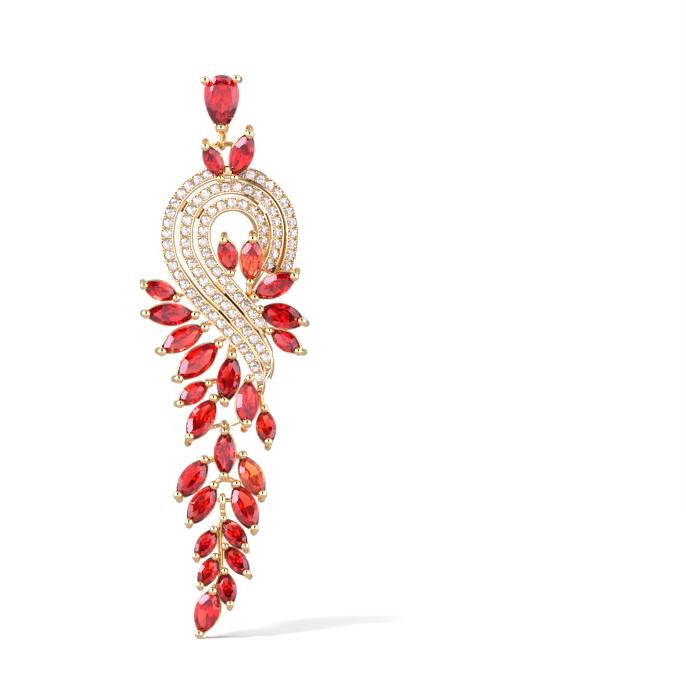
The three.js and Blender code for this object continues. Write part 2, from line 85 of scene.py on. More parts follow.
HANG_Y = -1.6  # the plane that every drop hangs in
DROP_Y = {"main_drop": -1.24, "middle_drop": -0.55, "tail_drop": -0.7}  # each drop's middle plane
MAIN_Y = DROP_Y["main_drop"]
SMALL_LEAF = 3.0  # a leaf stone narrower than this has the small prongs
STONE_TO_STEM = 0.42  # from a stone's tip to its prong's axis
BALL_HEIGHT = {"large": 0.75, "small": 0.68}  # above the girdle
FOOT = 0.6  # how far the stems reach behind the culet
STEM_LEAN = 0.09  # outwards, over its height
SMALL_STEM = 0.92  # a small prong's stem over a large one's
NECK = 0.38  # a prong's radius at the notch under its ball
SEAT_INSET = 0.1  # how far the rails stand off the stone
KEEL = 0.3  # radius of the bar behind a stone, from stem to stem
ARM = 0.42  # radius of the arm that carries a leaf
KEELED = ("crown_left", "crown_right", "lower_left_large", "right_vertical")

# Leaves whose stone isn't ruby red.
ORANGE = ("inner_right", "middle_upper_right")
CORAL = ("inner_left", "right_fan_1", "left_fan_3", "left_fan_4", "lower_left_small", "lower_left_large",
         "right_vertical", "far_right", "middle_lower_left", "middle_lower_right", "tail_left_2", "tail_left_3")

# A band's middle line is an arc about its centre, from its start in degrees, and then the points of its lower part.
# Its width tapers from a share of its length on. Its small stones lie between the places first and last.
Band = namedtuple("Band", "centre_x centre_z radius start taper first last lower")
BANDS = (
    Band(1.06, -19.78, 9.15, -33, 0.93, (9.5, -24.3), (5.49, -40.7), (
        (-8.04, -21.5), (-7.31, -24.3), (-5.62, -27.1), (-3.6, -29.7), (-1.29, -31.9), (0.84, -34.2),
        (3.04, -36.4), (4.74, -39.2), (5.6, -41.4), (5.5, -43.5))),
    Band(1.31, -19.56, 6.66, -43, 0.93, (6.83, -24.3), (6.43, -38.1), (
        (-5.35, -20.3), (-5.1, -22.5), (-3.71, -25.3), (-1.82, -28.1), (0.38, -30.3), (2.59, -32.8),
        (4.65, -35.3), (6.43, -38.1), (6.85, -39.6), (6.66, -41.1))),
    Band(1.57, -19.71, 4.35, -24, 0.94, (5.94, -20.7), (5.53, -32.9), (
        (-2.68, -21.4), (-1.49, -24.3), (-0.54, -25.6), (1.51, -28.1), (3.68, -30.5), (5.53, -32.9),
        (6.5, -34.5))),
)
BAND_WIDTH = 1.96
BAND_DEPTH = 1.6
BAND_TIP = 0.35  # its width at its end, over its full width
CHANNEL = -0.3  # the height of the channel's bottom over the band's middle
BED = (-0.35, -0.12)  # the heights of the cut floor's underside and top
ROUNDED = 0.12  # at the edges of the band's back
LOOP_BACK = 1.3  # how far the loop's right-hand end lies behind its left side
LOOP_STRETCH = 1.28  # height over width of the loop below its centre
LOOP_TWIST = 18  # degrees that the right-hand side turns its face outwards
# Where the crown leaves are soldered on: a place without small stones, with a plate that leans by degrees.
CROWN_SEAT = Sizes(x=0.8, z=-10.7, reach=1.0, plate=(1.5, 0.9, 1.9), forward=0.25, rounded=0.15, tilt=-10)
# The small stones' spacing, their girdle's height over the band's middle, the width that their cut goes by over
# their radius, the degrees that the setter's hand is off, and where the bead claws stand between them.
PAVE = Sizes(pitch=1.62, girdle=0.64, cut_width=2.1, tilt=5, turn=45, claw_x=0.6, claw_z=0.19, claw_foot=-0.2,
             claw_top=0.7)

# How a stone is cut: the directions in degrees that its main, star and back facets face, with x to a leaf's tip or
# to the right; the slope of its main facets; and the share of the outline that its table keeps.
GIRDLE = 0.2
CROWN = 0.18  # over the stone's width
PAVILION = 0.42  # over the stone's width
STAR_SLOPE = 0.55  # over the main facets' slope
Cut = namedtuple("Cut", "mains slope stars table behind")
LEAF_CUT = Cut((0, 180, 58, 90, 122, -58, -90, -122), 39, (74, 106, -74, -106, 40, 140, -40, -140), 0.75,
               (0, 180, 66, 114, -66, -114))
PEAR_CUT = Cut((90, 45, 135, 0, 180, -35, -145, -90), 38, (67, 113, 22, 158, -18, -162, -60, -120), 0.56,
               (90, 22, 158, -48, -132))
ROUND_CUT = Cut(range(0, 360, 45), 34, (22.5, 112.5, 202.5, 292.5), 0.62, range(0, 360, 45))
BLUNT_TIP = 0.3  # how far a leaf's two arcs run on past its tips

# Straps across the slot inside a band, at x and z, with their front's height over the band's middle.
Strap = namedtuple("Strap", "band x z front")
STRAP_SIZE = (1.0, 1.7)  # depth and length along the slot
STRAP_HOLD = 0.3  # how far a strap reaches into the bands on either side of its slot
# Each strap is gold over this share of its width from its outer side; the rest shows a dark copy behind it, which
# is painted shade.
GOLD_SHARE = 0.62  # of a strap's width
STRAPS = (Strap(0, -5.49, -15.72, 0.1), Strap(1, -3.19, -16.76, 0.1), Strap(0, 7.65, -25.4, 0.2))
RAISED_STRAP = Strap(1, 5.75, -16.13, 0.84)
# Floors of the slots inside a band, gold or dark, between two places, at a level over the band's middle. The dark
# ones are painted shade: dark matt gold that stands for the shade deep in the slot.
SLOT_FLOORS = (
    ("gold", 0, (8.73, -26.2), (7.4, -13.2), -0.2), ("gold", 1, (6.2, -25.4), (6.6, -16.8), -0.2),
    ("gold", 0, (-3.0, -30.4), (-1.3, -31.9), -0.2), ("dark", 0, (-1.4, -31.8), (0.1, -33.6), -0.45),
    ("gold", 0, (0.1, -33.6), (4.9, -40.0), -0.45),
    ("gold", 1, (-2.1, -27.9), (-0.3, -29.5), -0.2), ("dark", 1, (-0.4, -29.4), (2.4, -32.4), -0.45),
    ("gold", 1, (2.4, -32.4), (5.2, -36.0), -0.45),
)
WALL_FLARE = (0.1, 0.26)  # how far a band's inner wall spreads towards the back in the loop, and at the crossing
CROSSING = (-23.0, -29.0)  # the heights between which it comes in
LAST_FLARE = 0.12  # the innermost band's
SLIT = 0.13  # what the flared wall leaves open of a narrow slot

# The end of the arm that carries each leaf, in its drop's frame.
ARM_ENDS = {
    "crown_left": (-0.4, -0.2, -10.9), "crown_right": (2.2, -0.2, -10.8),
    "inner_left": (0.6, 0.2, -26.4), "inner_right": (3.9, 0.3, -28.9),
    "right_fan_1": (3.6, 0.2, -29.6), "right_fan_2": (4.6, 0.2, -31.2), "right_fan_3": (6.1, 0.2, -34.1),
    "left_fan_1": (-5.3, 0.2, -28.4), "left_fan_2": (-3.0, 0.2, -30.9), "left_fan_3": (-1.3, 0.2, -32.7),
    "left_fan_4": (0.8, 0.2, -34.9), "centre": (1.6, 0.2, -35.9),
    "lower_left_small": (-0.2, 0.8, -41.4), "lower_left_large": (-0.2, 0.8, -43.6),
    "right_vertical": (4.9, 0, -40.7), "far_right": (5.5, 0, -42.9),
    "middle_upper_left": (0.3, 0.75, -52.6), "middle_upper_right": (0.4, 0.75, -51.8),
    "tail_left_1": (-0.3, 0.5, -63.4), "tail_right_2": (-0.3, 0.5, -65.6), "tail_left_2": (-0.2, 0.5, -67.3),
    "tail_right_3": (-0.3, 0.5, -69.3),
}

# Round wires by diameter and route, in their drop's frame.
Wire = namedtuple("Wire", "diameter points spread", defaults=(0.0,))
WIRES = {
    "main_drop": (
        Wire(0.6, ((-2.0, -1.5, -8.1), (-1.25, -0.8, -7.0), (-0.45, -0.36, -6.62), (0.45, -0.36, -6.62),
                   (1.6, -0.6, -6.8), (3.2, -1.0, -7.9)), 0.2),
        Wire(0.48, ((-3.6, -1.1, -48.1), (-1.7, -0.6, -48.3), (-0.2, -0.36, -47.97), (0.9, -0.36, -47.97),
                    (2.3, -0.8, -47.35), (3.85, -1.5, -46.9)), 0.14),
        Wire(0.65, ((-3.6, -0.9, -48.2), (-1.9, -0.45, -48.35), (-0.7, -0.3, -48.1))),
        Wire(0.65, ((1.4, -0.3, -47.95), (2.4, -0.6, -47.45), (3.85, -1.3, -46.95))),
        Wire(0.9, ((1.6, 0.3, -35.6), (0.7, 0.8, -38.8), (-0.2, 1.0, -41.5), (-0.3, 0.9, -44.0))),
        Wire(0.8, ((-2.6, 0.9, -30.9), (0.2, 0.9, -28.4))),
        Wire(0.8, ((1.1, 0.9, -34.4), (4.0, 0.9, -31.2))),
        Wire(0.8, ((5.9, 1.2, -25.1), (3.6, 0.6, -28.9))),
    ),
    "middle_drop": (
        Wire(0.6, ((0.62, 0.75, -48.6), (0.5, 0.75, -55.7))),
        Wire(0.8, ((-1.16, 0.1, -56.9), (-0.6, -0.2, -56.25), (0.35, -0.3, -55.98), (1.4, -0.2, -56.15),
                   (2.18, 0.1, -56.8))),
        Wire(0.6, ((-0.8, -1.05, -59.0), (1.45, -1.05, -59.0))),
    ),
    "tail_drop": (
        Wire(0.9, ((0.09, -0.9, -60.3), (0.25, -0.2, -61.7))),
        Wire(1.0, ((0.25, 0.1, -61.4), (-0.3, 0.6, -64.4), (-0.15, 0.6, -67.6), (-0.45, 0.5, -70.6),
                   (-1.29, 0.3, -72.4))),
    ),
}
PLAIN_RIM = ((5.55, -0.2, -33.9), (6.2, -0.2, -35.2), (6.82, -0.25, -36.4), (7.2, -0.3, -37.3), (7.36, -0.3, -38.3),
             (7.24, -0.3, -39.5), (6.9, -0.25, -40.5), (6.3, -0.2, -41.4))
PLAIN_RIM_WIDTHS = ((0.0, 1.0), (0.42, 1.0), (0.52, 0.45), (1.0, 0.4))  # by the share of its length

PLAIN_RIM_SECTION = (0.42, 0.62)  # half sizes
RIM_BALLS = ((5.74, -42.3), (6.76, -39.5))  # x and z of the balls at the ribbon's lower end
RIM_BALL = Sizes(radius=0.36, forward=0.75)

# Rings of oval wire across the swing: x and z, half sizes to the wire's middle, and the wire's half sizes.
Ring = namedtuple("Ring", "x z half_depth half_height half_across half_thick")
RINGS = {
    "link": Ring(0.0, -6.3, 1.0, 1.0, 0.36, 0.33),
    "middle_drop": Ring(0.35, -48.02, 0.62, 0.62, 0.4, 0.22),
    "tail_drop": Ring(0.09, -59.24, 0.72, 0.99, 0.42, 0.29),
}
LINK_TURN = -14  # degrees that the hanging ring is turned about the upright

PEAR = Sizes(half_width=2.58, wide_z=0.8, round=2.6, point=5.9, power=2.2, tip_z=-4.3, cut_width=4.75, culet_z=0.3)
STUD = Sizes(plate=0.6, inset=0.2, rounded=0.08, girdle_y=-2.9, ball_y=-3.6, rail_y=-2.225, rail_inset=0.28,
             rail_tip_z=-4.0, rail=0.22, brace_y=-0.3, brace=0.28, brace_in=0.7, brace_out=0.33)
STUD_PRONGS = ((-2.4, 2.48, -0.7, 0.7, 0.09), (2.2, 2.72, 0.6, 0.8, 0.09), (-0.04, -4.5, 0, -1, 0))  # x, z and lean
EYE = Sizes(z=-5.3, half_width=0.55, half_height=0.68, wire=0.17, leg=0.24)
EYE_LEG = ((0.95, -1.9, -3.75), (0.5, HANG_Y, -5.0))
POST = Sizes(radius=0.4, length=10.5)

# Cubic zirconia by colour: the record's slot, the settings for its surface, its clouds and its inside, how fast it
# colours light per metre, its glow and that one's strength, and the haze of its polish.
Crystal = namedtuple("Crystal", "slot face shade body density glow strength haze")
CRYSTALS = {
    "ruby_red_zirconia": Crystal("red_crystal", "red_face", "red_shade", "red", 1350, "#FF2028", 0.012, 0.09),
    "coral_red_zirconia": Crystal(
        "red_crystal", "coral_face", "coral_shade", "coral", 1150, "#FF3820", 0.03, 0.09),
    "flame_orange_zirconia": Crystal(
        "orange_crystal", "orange_face", "orange_shade", "orange", 480, "#FF5828", 0.05, 0.09),
    "clear_zirconia": Crystal("clear_crystal", "clear", "clear", "clear", 10, "#FBF4F8", 0.02, 0.025),
}

# The tent's brightness by direction. Each ramp: its axis, where it starts and ends, and its values there.
SOFT_RAMPS = {
    "front": ("Y", 0.7, -0.3, 0, 1), "height": ("Z", -0.5, 0.05, 0.12, 0.7),
    "box_top": ("Z", 0.9, 0.78, 0, 1), "box_front": ("Y", 0.15, 0.05, 0, 1),
    "left_side": ("X", -0.52, -0.62, 0, 7.0), "left_foot": ("Z", 0.05, 0.3, 0, 1),
    "right_side": ("X", 0.42, 0.75, 0, 1.5), "right_foot": ("Z", -0.3, 0.0, 0, 1),
}
SLOT_RAMPS = {
    "slot_left": ("X", -0.54, -0.46, 0, 1), "slot_right": ("X", 0.34, 0.26, 0, 1),
    "slot_foot": ("Z", 0.08, 0.14, 0, 1), "slot_top": ("Z", 0.97, 0.93, 0, 1),
}
# What is multiplied, and then the sums: a result's name, what is done, and the values that go in.
PRODUCTS = {
    "bright": "front height",
    "left_box": "left_side left_foot box_top box_front", "right_box": "right_side right_foot box_top box_front",
    "slot": "slot_left slot_right slot_foot slot_top facing",
}
SUMS = (
    ("even", "ADD", "bright", 0.52), ("with_left", "ADD", "even", "left_box"),
    ("level", "ADD", "with_left", "right_box"), ("open", "MULTIPLY_ADD", "slot", -0.98, 1.0),
    ("for_gold", "MULTIPLY", "level", "open"), ("lifted", "MULTIPLY_ADD", "level", 0.62, 0.36),
    ("softer", "MULTIPLY_ADD", "open", 0.8, 0.2), ("through_stones", "MULTIPLY", "lifted", "softer"),
)
FLOOR_FILL = 0.3  # how bright the tent is for the floor

# --- small helpers


def srgb(code):
    """A hex colour as linear red, green, blue and alpha."""
    def linear(byte):
        value = byte / 255
        return value / 12.92 if value <= 0.04045 else ((value + 0.055) / 1.055) ** 2.4
    return tuple(linear(int(code[i:i + 2], 16)) for i in (1, 3, 5)) + (1.0,)


def add_node(tree, kind, values=None, links=None, **settings):
    """Adds a node with its settings, its sockets' values, and its sources: sockets, or nodes, whose first live
    output is meant."""
    node = tree.nodes.new("ShaderNode" + kind)
    for name, value in settings.items():
        setattr(node, name, value)
    for socket, value in (values or {}).items():
        node.inputs[socket].default_value = value
    for socket, source in (links or {}).items():
        if isinstance(source, bpy.types.Node):
            source = next(output for output in source.outputs if output.enabled)
        tree.links.new(source, node.inputs[socket])
    return node


def smoothstep(x):
    x = min(max(x, 0.0), 1.0)
    return x * x * (3 - 2 * x)


def basis(x, y, z, origin):
    """The matrix whose columns are the directions x, y and z and the place origin."""
    matrix = Matrix((x, y, z)).transposed().to_4x4()
    matrix.translation = origin
    return matrix


def shift(x, y, z):
    return Matrix.Translation((x, y, z))


def turned(angle, axis):
    """A turn by degrees about an axis."""
    return Matrix.Rotation(radians(angle), 4, axis)


def oval(sides, half_x, half_y):
    """The corners of an oval section."""
    angles = [tau * i / sides for i in range(sides)]
    return [Vector((half_x * cos(a), half_y * sin(a))) for a in angles]


def as_mesh(bm, name="template"):
    mesh = bpy.data.meshes.new(name)
    bm.to_mesh(mesh)
    bm.free()
    return mesh


def join(bm, part, places=(Matrix.Identity(4),)):
    """Adds a copy of a finished part at each place, and frees the part."""
    mesh = as_mesh(part)
    for place in places:
        copy = mesh.copy()
        copy.transform(place)
        bm.from_mesh(copy)
        bpy.data.meshes.remove(copy)
    bpy.data.meshes.remove(mesh)


def material_for(name):
    """The material of that name, made the first time it is asked for."""
    if name not in bpy.data.materials:
        material = bpy.data.materials.new(name)
        material.use_nodes = True
        tree = material.node_tree
        tree.nodes.clear()
        if name in CRYSTALS:
            links = cut_crystal(tree, CRYSTALS[name])
        else:
            links = {"Surface": FINISHES[name](tree, bpy.context.scene.earring_metal)}
        add_node(tree, "OutputMaterial", links=links)
    return bpy.data.materials[name]


def finish_piece(bm, name, body, look, replaces=(), smooth_angle=None):
    """Makes the bmesh an object in metres that rides on a body; smooth below the angle, or faceted."""
    bmesh.ops.recalc_face_normals(bm, faces=bm.faces)
    bmesh.ops.scale(bm, vec=(MM, MM, MM), verts=bm.verts)
    mesh = as_mesh(bm, name)
    mesh.materials.append(material_for(look))
    if smooth_angle is not None:
        mesh.shade_smooth()
        mesh.set_sharp_from_angle(angle=radians(smooth_angle))
    piece = bpy.data.objects.new(name, mesh)
    bpy.context.scene.collection.objects.link(piece)
    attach(piece, body)
    if replaces:
        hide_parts(*replaces)


class Route:
    """A smooth line through points, measured along its length, with a turn in degrees at each point."""

    def __init__(self, points, turns=None, fineness=10):
        points = [Vector(point) for point in points]
        turns = turns or [0.0] * len(points)
        ends = [points[0]] + points + [points[-1]]
        self.points = [points[0]]
        self.turns = [turns[0]]
        for i in range(len(points) - 1):
            before, start, end, after = ends[i:i + 4]
            span = (end - start).length
            lead = (end - before).normalized() * span / 3
            trail = (after - start).normalized() * span / 3
            curve = interpolate_bezier(start, start + lead, end - trail, end, fineness + 1)
            self.points += [Vector(point) for point in curve[1:]]
            self.turns += [turns[i] + (turns[i + 1] - turns[i]) * k / fineness for k in range(1, fineness + 1)]
        self.lengths = [0.0]
        for a, b in zip(self.points, self.points[1:]):
            self.lengths.append(self.lengths[-1] + (b - a).length)
        self.length = self.lengths[-1]

    def at(self, distance):
        """The place, direction and turn at a distance along the line."""
        distance = min(max(distance, 0.0), self.length)
        i = 0
        while i < len(self.lengths) - 2 and self.lengths[i + 1] < distance:
            i += 1
        share = (distance - self.lengths[i]) / (self.lengths[i + 1] - self.lengths[i])
        along = self.points[min(i + 2, len(self.points) - 1)] - self.points[max(i - 1, 0)]
        turn = self.turns[i] + (self.turns[i + 1] - self.turns[i]) * share
        return self.points[i].lerp(self.points[i + 1], share), along.normalized(), turn

    def frame_at(self, distance, width=1.0):
        """A matrix with x across the line, y to the front, turned by the turn, and z along the line."""
        place, along, turn = self.at(distance)
        front = Vector((0, -1, 0))
        if abs(front.dot(along)) > 0.98:
            front = Vector((0, 0, 1))
        front = (front - along * front.dot(along)).normalized()
        front.rotate(Matrix.Rotation(radians(turn), 3, along))
        return basis(front.cross(along) * width, front, along, place)

    def nearest(self, x, z):
        """The distance along the line of its point nearest to x and z."""
        i = min(range(len(self.points)), key=lambda k: (self.points[k].x - x) ** 2 + (self.points[k].z - z) ** 2)
        return self.lengths[i]


def sweep(bm, ring, places, closed=False):
    """Extrudes a ring of vertices, at the first place, through the other places, and closes its ends."""
    edges = list(dict.fromkeys(edge for vert in ring for edge in vert.link_edges))
    if not closed:
        bmesh.ops.contextual_create(bm, geom=edges)
    for before, after in zip(places, places[1:]):
        made = bmesh.ops.extrude_edge_only(bm, edges=edges)["geom"]
        verts = [item for item in made if isinstance(item, bmesh.types.BMVert)]
        edges = [item for item in made if isinstance(item, bmesh.types.BMEdge)]
        bmesh.ops.transform(bm, matrix=after @ before.inverted(), verts=verts)
    if closed:
        bmesh.ops.remove_doubles(bm, verts=bm.verts, dist=1e-4)
    else:
        bmesh.ops.contextual_create(bm, geom=edges)


def swept(corners, places, closed=False):
    """A flat section, given by its corners, swept through places."""
    bm = bmesh.new()
    ring = [bm.verts.new(places[0] @ Vector((x, y, 0))) for x, y in corners]
    for pair in zip(ring, ring[1:] + ring[:1]):
        bm.edges.new(pair)
    sweep(bm, ring, places, closed)
    return bm


def spun(profile, sides):
    """A profile of radius and height spun about the z axis."""
    bm = bmesh.new()
    verts = [bm.verts.new((radius, 0, height)) for radius, height in profile]
    edges = [bm.edges.new(pair) for pair in zip(verts, verts[1:])]
    bmesh.ops.spin(bm, geom=verts + edges, cent=(0, 0, 0), axis=(0, 0, 1), angle=tau, steps=sides,
                   use_merge=True)
    bmesh.ops.remove_doubles(bm, verts=bm.verts, dist=1e-5)
    return bm


def round_edges(bm, offset, segments=2):
    bmesh.ops.bevel(bm, geom=bm.edges[:], offset=offset, segments=segments, profile=0.5, affect="EDGES",
                    material=-1)


def add_plate(bm, size, rounded, segments, place):
    """Adds a plate with rounded edges at a place."""
    plate = bmesh.new()
    bmesh.ops.create_cube(plate, size=1.0, matrix=Matrix.Diagonal((*size, 1)))
    round_edges(plate, rounded, segments)
    bmesh.ops.transform(plate, matrix=place, verts=plate.verts)
    join(bm, plate)


def add_rod(bm, points, radius, sides=14, step=0.35, round_ends=True):
    """Adds a round wire along points, with domed ends."""
    route = Route(points)
    count = max(2, round(route.length / step))
    stations = [(route.length * i / count, 1.0) for i in range(count + 1)]
    if round_ends:
        dome = [(radius * (1 - cos(a)), sin(a)) for a in (0.35, 0.8, 1.2)]
        stations = (dome + [s for s in stations if radius < s[0] < route.length - radius]
                    + [(route.length - d, s) for d, s in reversed(dome)])
    places = [route.frame_at(d) @ Matrix.Diagonal((s, s, 1, 1)) for d, s in stations]
    rod = bmesh.new()
    ring = bmesh.ops.create_circle(rod, segments=sides, radius=radius, matrix=places[0])["verts"]
    sweep(rod, ring, places)
    join(bm, rod)


def add_ring(bm, ring):
    """Adds a ring of oval wire that stands in the y-z plane."""
    places = []
    for i in range(49):
        angle = tau * i / 48
        place = Vector((ring.x, HANG_Y + ring.half_depth * cos(angle),
                        ring.z + ring.half_height * sin(angle)))
        along = Vector((0, -ring.half_depth * sin(angle), ring.half_height * cos(angle))).normalized()
        across = Vector((1, 0, 0))
        places.append(basis(across, along.cross(across), along, place))
    join(bm, swept(oval(16, ring.half_across, ring.half_thick), places, closed=True))


def moved(points, y, z=0.0):
    """The points, moved from their drop's frame to the part's."""
    return [Vector(point) + Vector((0, y, z)) for point in points]


# --- materials: each function has its material's name and gives the surface. A pattern's Scale is how many of its
# marks fit in a metre, so 1000 over the size of one in millimetres.


def grained(tree, kind, pattern, strength, depth):
    """A fine pattern on Object coordinates and its bump: the coordinates, the pattern and the bump."""
    place = add_node(tree, "TexCoord").outputs
    grain = add_node(tree, kind, pattern, {"Vector": place["Object"]})
    return place, grain, add_node(tree, "Bump", {"Strength": strength, "Distance": depth}, {"Height": grain})


def polished_gold_plate(tree, metal):
    """Thin 18-carat gold plating over polished brass: mirror bright, with a faint hand-polished waviness."""
    _, wave, bump = grained(tree, "TexNoise", {"Scale": 900.0, "Detail": 3.0}, 0.04, 0.0001)
    polish = metal.roughness
    haze = add_node(tree, "MapRange", {"To Min": polish, "To Max": polish + 0.04}, {"Value": wave})
    return add_node(tree, "BsdfPrincipled", {"Metallic": 1.0, "Base Color": metal.colour},
                    {"Roughness": haze, "Normal": bump})


def polished_plate_painted_light(tree, metal):
    """Gold plating on the ribbon, with 0.4 mm grain: the wheel reaches only the tops of the rims, so they are
    mirror smooth and the walls and the back stay satin. The colour is painted light: faces towards the front get a
    paler colour as a painted highlight, and faces turned away from it a deeper colour as painted shade."""
    place, _, bump = grained(tree, "TexNoise", {"Scale": 2500.0, "Detail": 3.0}, 0.06, 0.00008)
    facing = add_node(tree, "SeparateXYZ", links={"Vector": place["Normal"]}).outputs["Y"]
    # Painted highlight and shade: the paler rim colour on faces towards the front, the deeper wall colour on faces
    # turned away.
    wall = add_node(tree, "MapRange", {"From Min": -0.8, "From Max": -0.45}, {"Value": facing})
    tone = add_node(tree, "Mix", {"A": metal.rim_highlight_colour, "B": metal.wall_shade_colour}, {"Factor": wall},
                    data_type="RGBA")
    haze = add_node(tree, "MapRange", {"To Min": metal.roughness, "To Max": 0.3}, {"Value": wall})
    return add_node(tree, "BsdfPrincipled", {"Metallic": 1.0},
                    {"Base Color": tone, "Roughness": haze, "Normal": bump})


def satin_gold_painted_shade(tree, metal):
    """Gold plating on the arms behind the stones: barrel-finished only, so satin, with 0.3 mm tumbling marks. Its
    deep
    orange colour is painted shade: it stands for gold that sees nothing but more gold, and is given all over."""
    _, marks, bump = grained(tree, "TexNoise", {"Scale": 3000.0, "Detail": 2.0}, 0.25, 0.0001)
    # Painted shade: the deep orange wall colour, broken up by the tumbling marks.
    tone = add_node(tree, "Mix", {"A": metal.wall_shade_colour, "B": metal.deep_colour}, {"Factor": marks},
                    data_type="RGBA")
    return add_node(tree, "BsdfPrincipled", {"Metallic": 1.0, "Roughness": 0.16},
                    {"Base Color": tone, "Normal": bump})


def graver_cut_gold(tree, metal):
    """Gold between the small stones: cut with a graver, so bright but broken up by 0.3 mm tool marks."""
    _, _, bump = grained(tree, "TexVoronoi", {"Scale": 3500.0}, 0.8, 0.00006)
    return add_node(tree, "BsdfPrincipled", {"Metallic": 1.0, "Base Color": metal.deep_colour, "Roughness": 0.32},
                    {"Normal": bump})


def painted_shade_recess(tree, metal):
    """The floor of the narrow slots: dull gold, pitted at about 0.2 mm. Its dark brown colour is painted shade
    for the shade deep in the slots and under the stones."""
    _, pits, bump = grained(tree, "TexNoise", {"Scale": 5000.0, "Detail": 2.0}, 0.5, 0.00005)
    share = add_node(tree, "MapRange", {"From Min": 0.45, "From Max": 0.9, "To Max": 0.3}, {"Value": pits})
    # Painted shade: the dark recess colour, lifted a little towards the cut gold by the pitting.
    tone = add_node(tree, "Mix", {"A": metal.recess_shade_colour, "B": metal.deep_colour}, {"Factor": share},
                    data_type="RGBA")
    return add_node(tree, "BsdfPrincipled", {"Metallic": 1.0, "Roughness": 0.5},
                    {"Base Color": tone, "Normal": bump})


def white_lacquered_board(tree, _):
    """The floor, white lacquered board: matt white under a thin, slightly hazy gloss, with a faint unevenness."""
    place = add_node(tree, "TexCoord").outputs["Object"]
    fibre = add_node(tree, "TexNoise", {"Scale": 60.0, "Detail": 4.0}, {"Vector": place})
    tone = add_node(tree, "MapRange", {"To Min": 0.92, "To Max": 0.95}, {"Value": fibre})
    grey = add_node(tree, "CombineColor", links={"Red": tone, "Green": tone, "Blue": tone})
    white = add_node(tree, "BsdfDiffuse", links={"Color": grey})
    gloss = add_node(tree, "BsdfGlossy", {"Color": WHITE, "Roughness": 0.1})
    return add_node(tree, "MixShader", {0: 0.2}, {1: white, 2: gloss})


FINISHES = {finish.__name__: finish for finish in (
    polished_gold_plate, polished_plate_painted_light, satin_gold_painted_shade, graver_cut_gold, painted_shade_recess,
    white_lacquered_board)}


def cut_crystal(tree, crystal):
    """Cubic zirconia: flat-polished and highly refracting, so its facets part light and dark sharply. The colour is
    in the crystal itself, so a longer way through it looks deeper, and 2 mm clouds in it vary a little. The faint
    glow stands for light that is reflected inside more often than a ray is followed, and a slight haze softens the
    reflections on the coloured stones."""
    stones = bpy.context.scene.earring_stones
    face, shade, body = (getattr(stones, name) for name in (crystal.face, crystal.shade, crystal.body))
    place = add_node(tree, "TexCoord").outputs["Object"]
    cloud = add_node(tree, "TexNoise", {"Scale": 500.0, "Detail": 1.0}, {"Vector": place})
    tint = add_node(tree, "Mix", {"A": face, "B": shade}, {"Factor": cloud}, data_type="RGBA")
    shader = add_node(tree, "BsdfPrincipled", {
        "Roughness": crystal.haze, "IOR": stones.ior, "Transmission Weight": 1.0, "Specular IOR Level": 0.21,
        "Specular Tint": WHITE if crystal.body == "clear" else stones.glint,
        "Emission Color": srgb(crystal.glow), "Emission Strength": crystal.strength}, {"Base Color": tint})
    inside = add_node(tree, "VolumeAbsorption", {"Color": body, "Density": crystal.density})
    return {"Surface": shader, "Volume": inside}


# --- cut stones


def leaf_corners(half_length, half_width, sides):
    """The outline of a leaf of two arcs from its +x tip round to it again, with 2 * sides corners."""
    radius = ((half_length + BLUNT_TIP) ** 2 + half_width ** 2) / (2 * half_width)
    corners = []
    for i in range(2 * sides):
        share = 1 - 2 * i / sides if i <= sides else 2 * i / sides - 3
        u = share * half_length
        v = 0.0 if i % sides == 0 else sqrt(radius ** 2 - u ** 2) - (radius - half_width)
        corners.append(Vector((u, v if i < sides else -v)))
    return corners


def pear_corners(grow=0.0, tip_z=PEAR.tip_z, quarter=8):
    """The outline of the pear from its lower tip round to it again, in x and z, with 4 * quarter corners."""
    half = PEAR.half_width + grow
    side = []
    for i in range(1, quarter):
        z = tip_z + (PEAR.wide_z - tip_z) * i / quarter
        x = half * (1 - ((PEAR.wide_z - z) / (PEAR.point + grow)) ** PEAR.power)
        side.append(Vector((x, z)))
    top = []
    for i in range(2 * quarter + 1):
        angle = pi * i / (2 * quarter)
        top.append(Vector((half * cos(angle), PEAR.wide_z + (PEAR.round + grow) * sin(angle))))
    return [Vector((0, tip_z))] + side + top + [Vector((-corner.x, corner.y)) for corner in reversed(side)]


def support(corners, angle):
    """The corner of the outline that lies furthest in a direction of the plane, in degrees."""
    direction = Vector((cos(radians(angle)), sin(radians(angle))))
    return max(corners, key=lambda corner: corner.dot(direction))


def grind(bm, corners, angle, slope, height, scale=1.0):
    """Grinds one facet: a plane through the outline's outermost point in a direction, taken at a share of its
    distance and at a height, that slopes down outwards; a height below the girdle grinds the back."""
    point = support(corners, angle) * scale
    turn = radians(angle)
    tilt = radians(slope)
    normal = Vector((cos(turn) * sin(tilt), sin(turn) * sin(tilt),
                     copysign(cos(tilt), height)))
    bmesh.ops.bisect_plane(bm, geom=bm.verts[:] + bm.edges[:] + bm.faces[:], dist=1e-4,
                           plane_co=(point.x, point.y, height), plane_no=normal, clear_outer=True)
    bmesh.ops.holes_fill(bm, edges=bm.edges[:], sides=0)


def cut_stone(corners, width, cut):
    """A stone with its table to +z: a blank of the outline, ground to a flat table and its crown facets, with the
    facets behind that meet in the culet."""
    top = GIRDLE / 2 + CROWN * width
    deep = PAVILION * width
    bm = swept(corners, [shift(0, 0, z) for z in (-GIRDLE / 2 - deep, top)])
    for angle in cut.mains:
        grind(bm, corners, angle, cut.slope, GIRDLE / 2)
    for angle in cut.stars:
        grind(bm, corners, angle, cut.slope * STAR_SLOPE, top, cut.table)
    for angle in cut.behind:
        pitch = degrees(atan2(deep, support(corners, angle).length))
        grind(bm, corners, angle, pitch, -GIRDLE / 2)
    bmesh.ops.remove_doubles(bm, verts=bm.verts, dist=1e-4)
    bmesh.ops.dissolve_degenerate(bm, edges=bm.edges, dist=1e-4)
    return bm


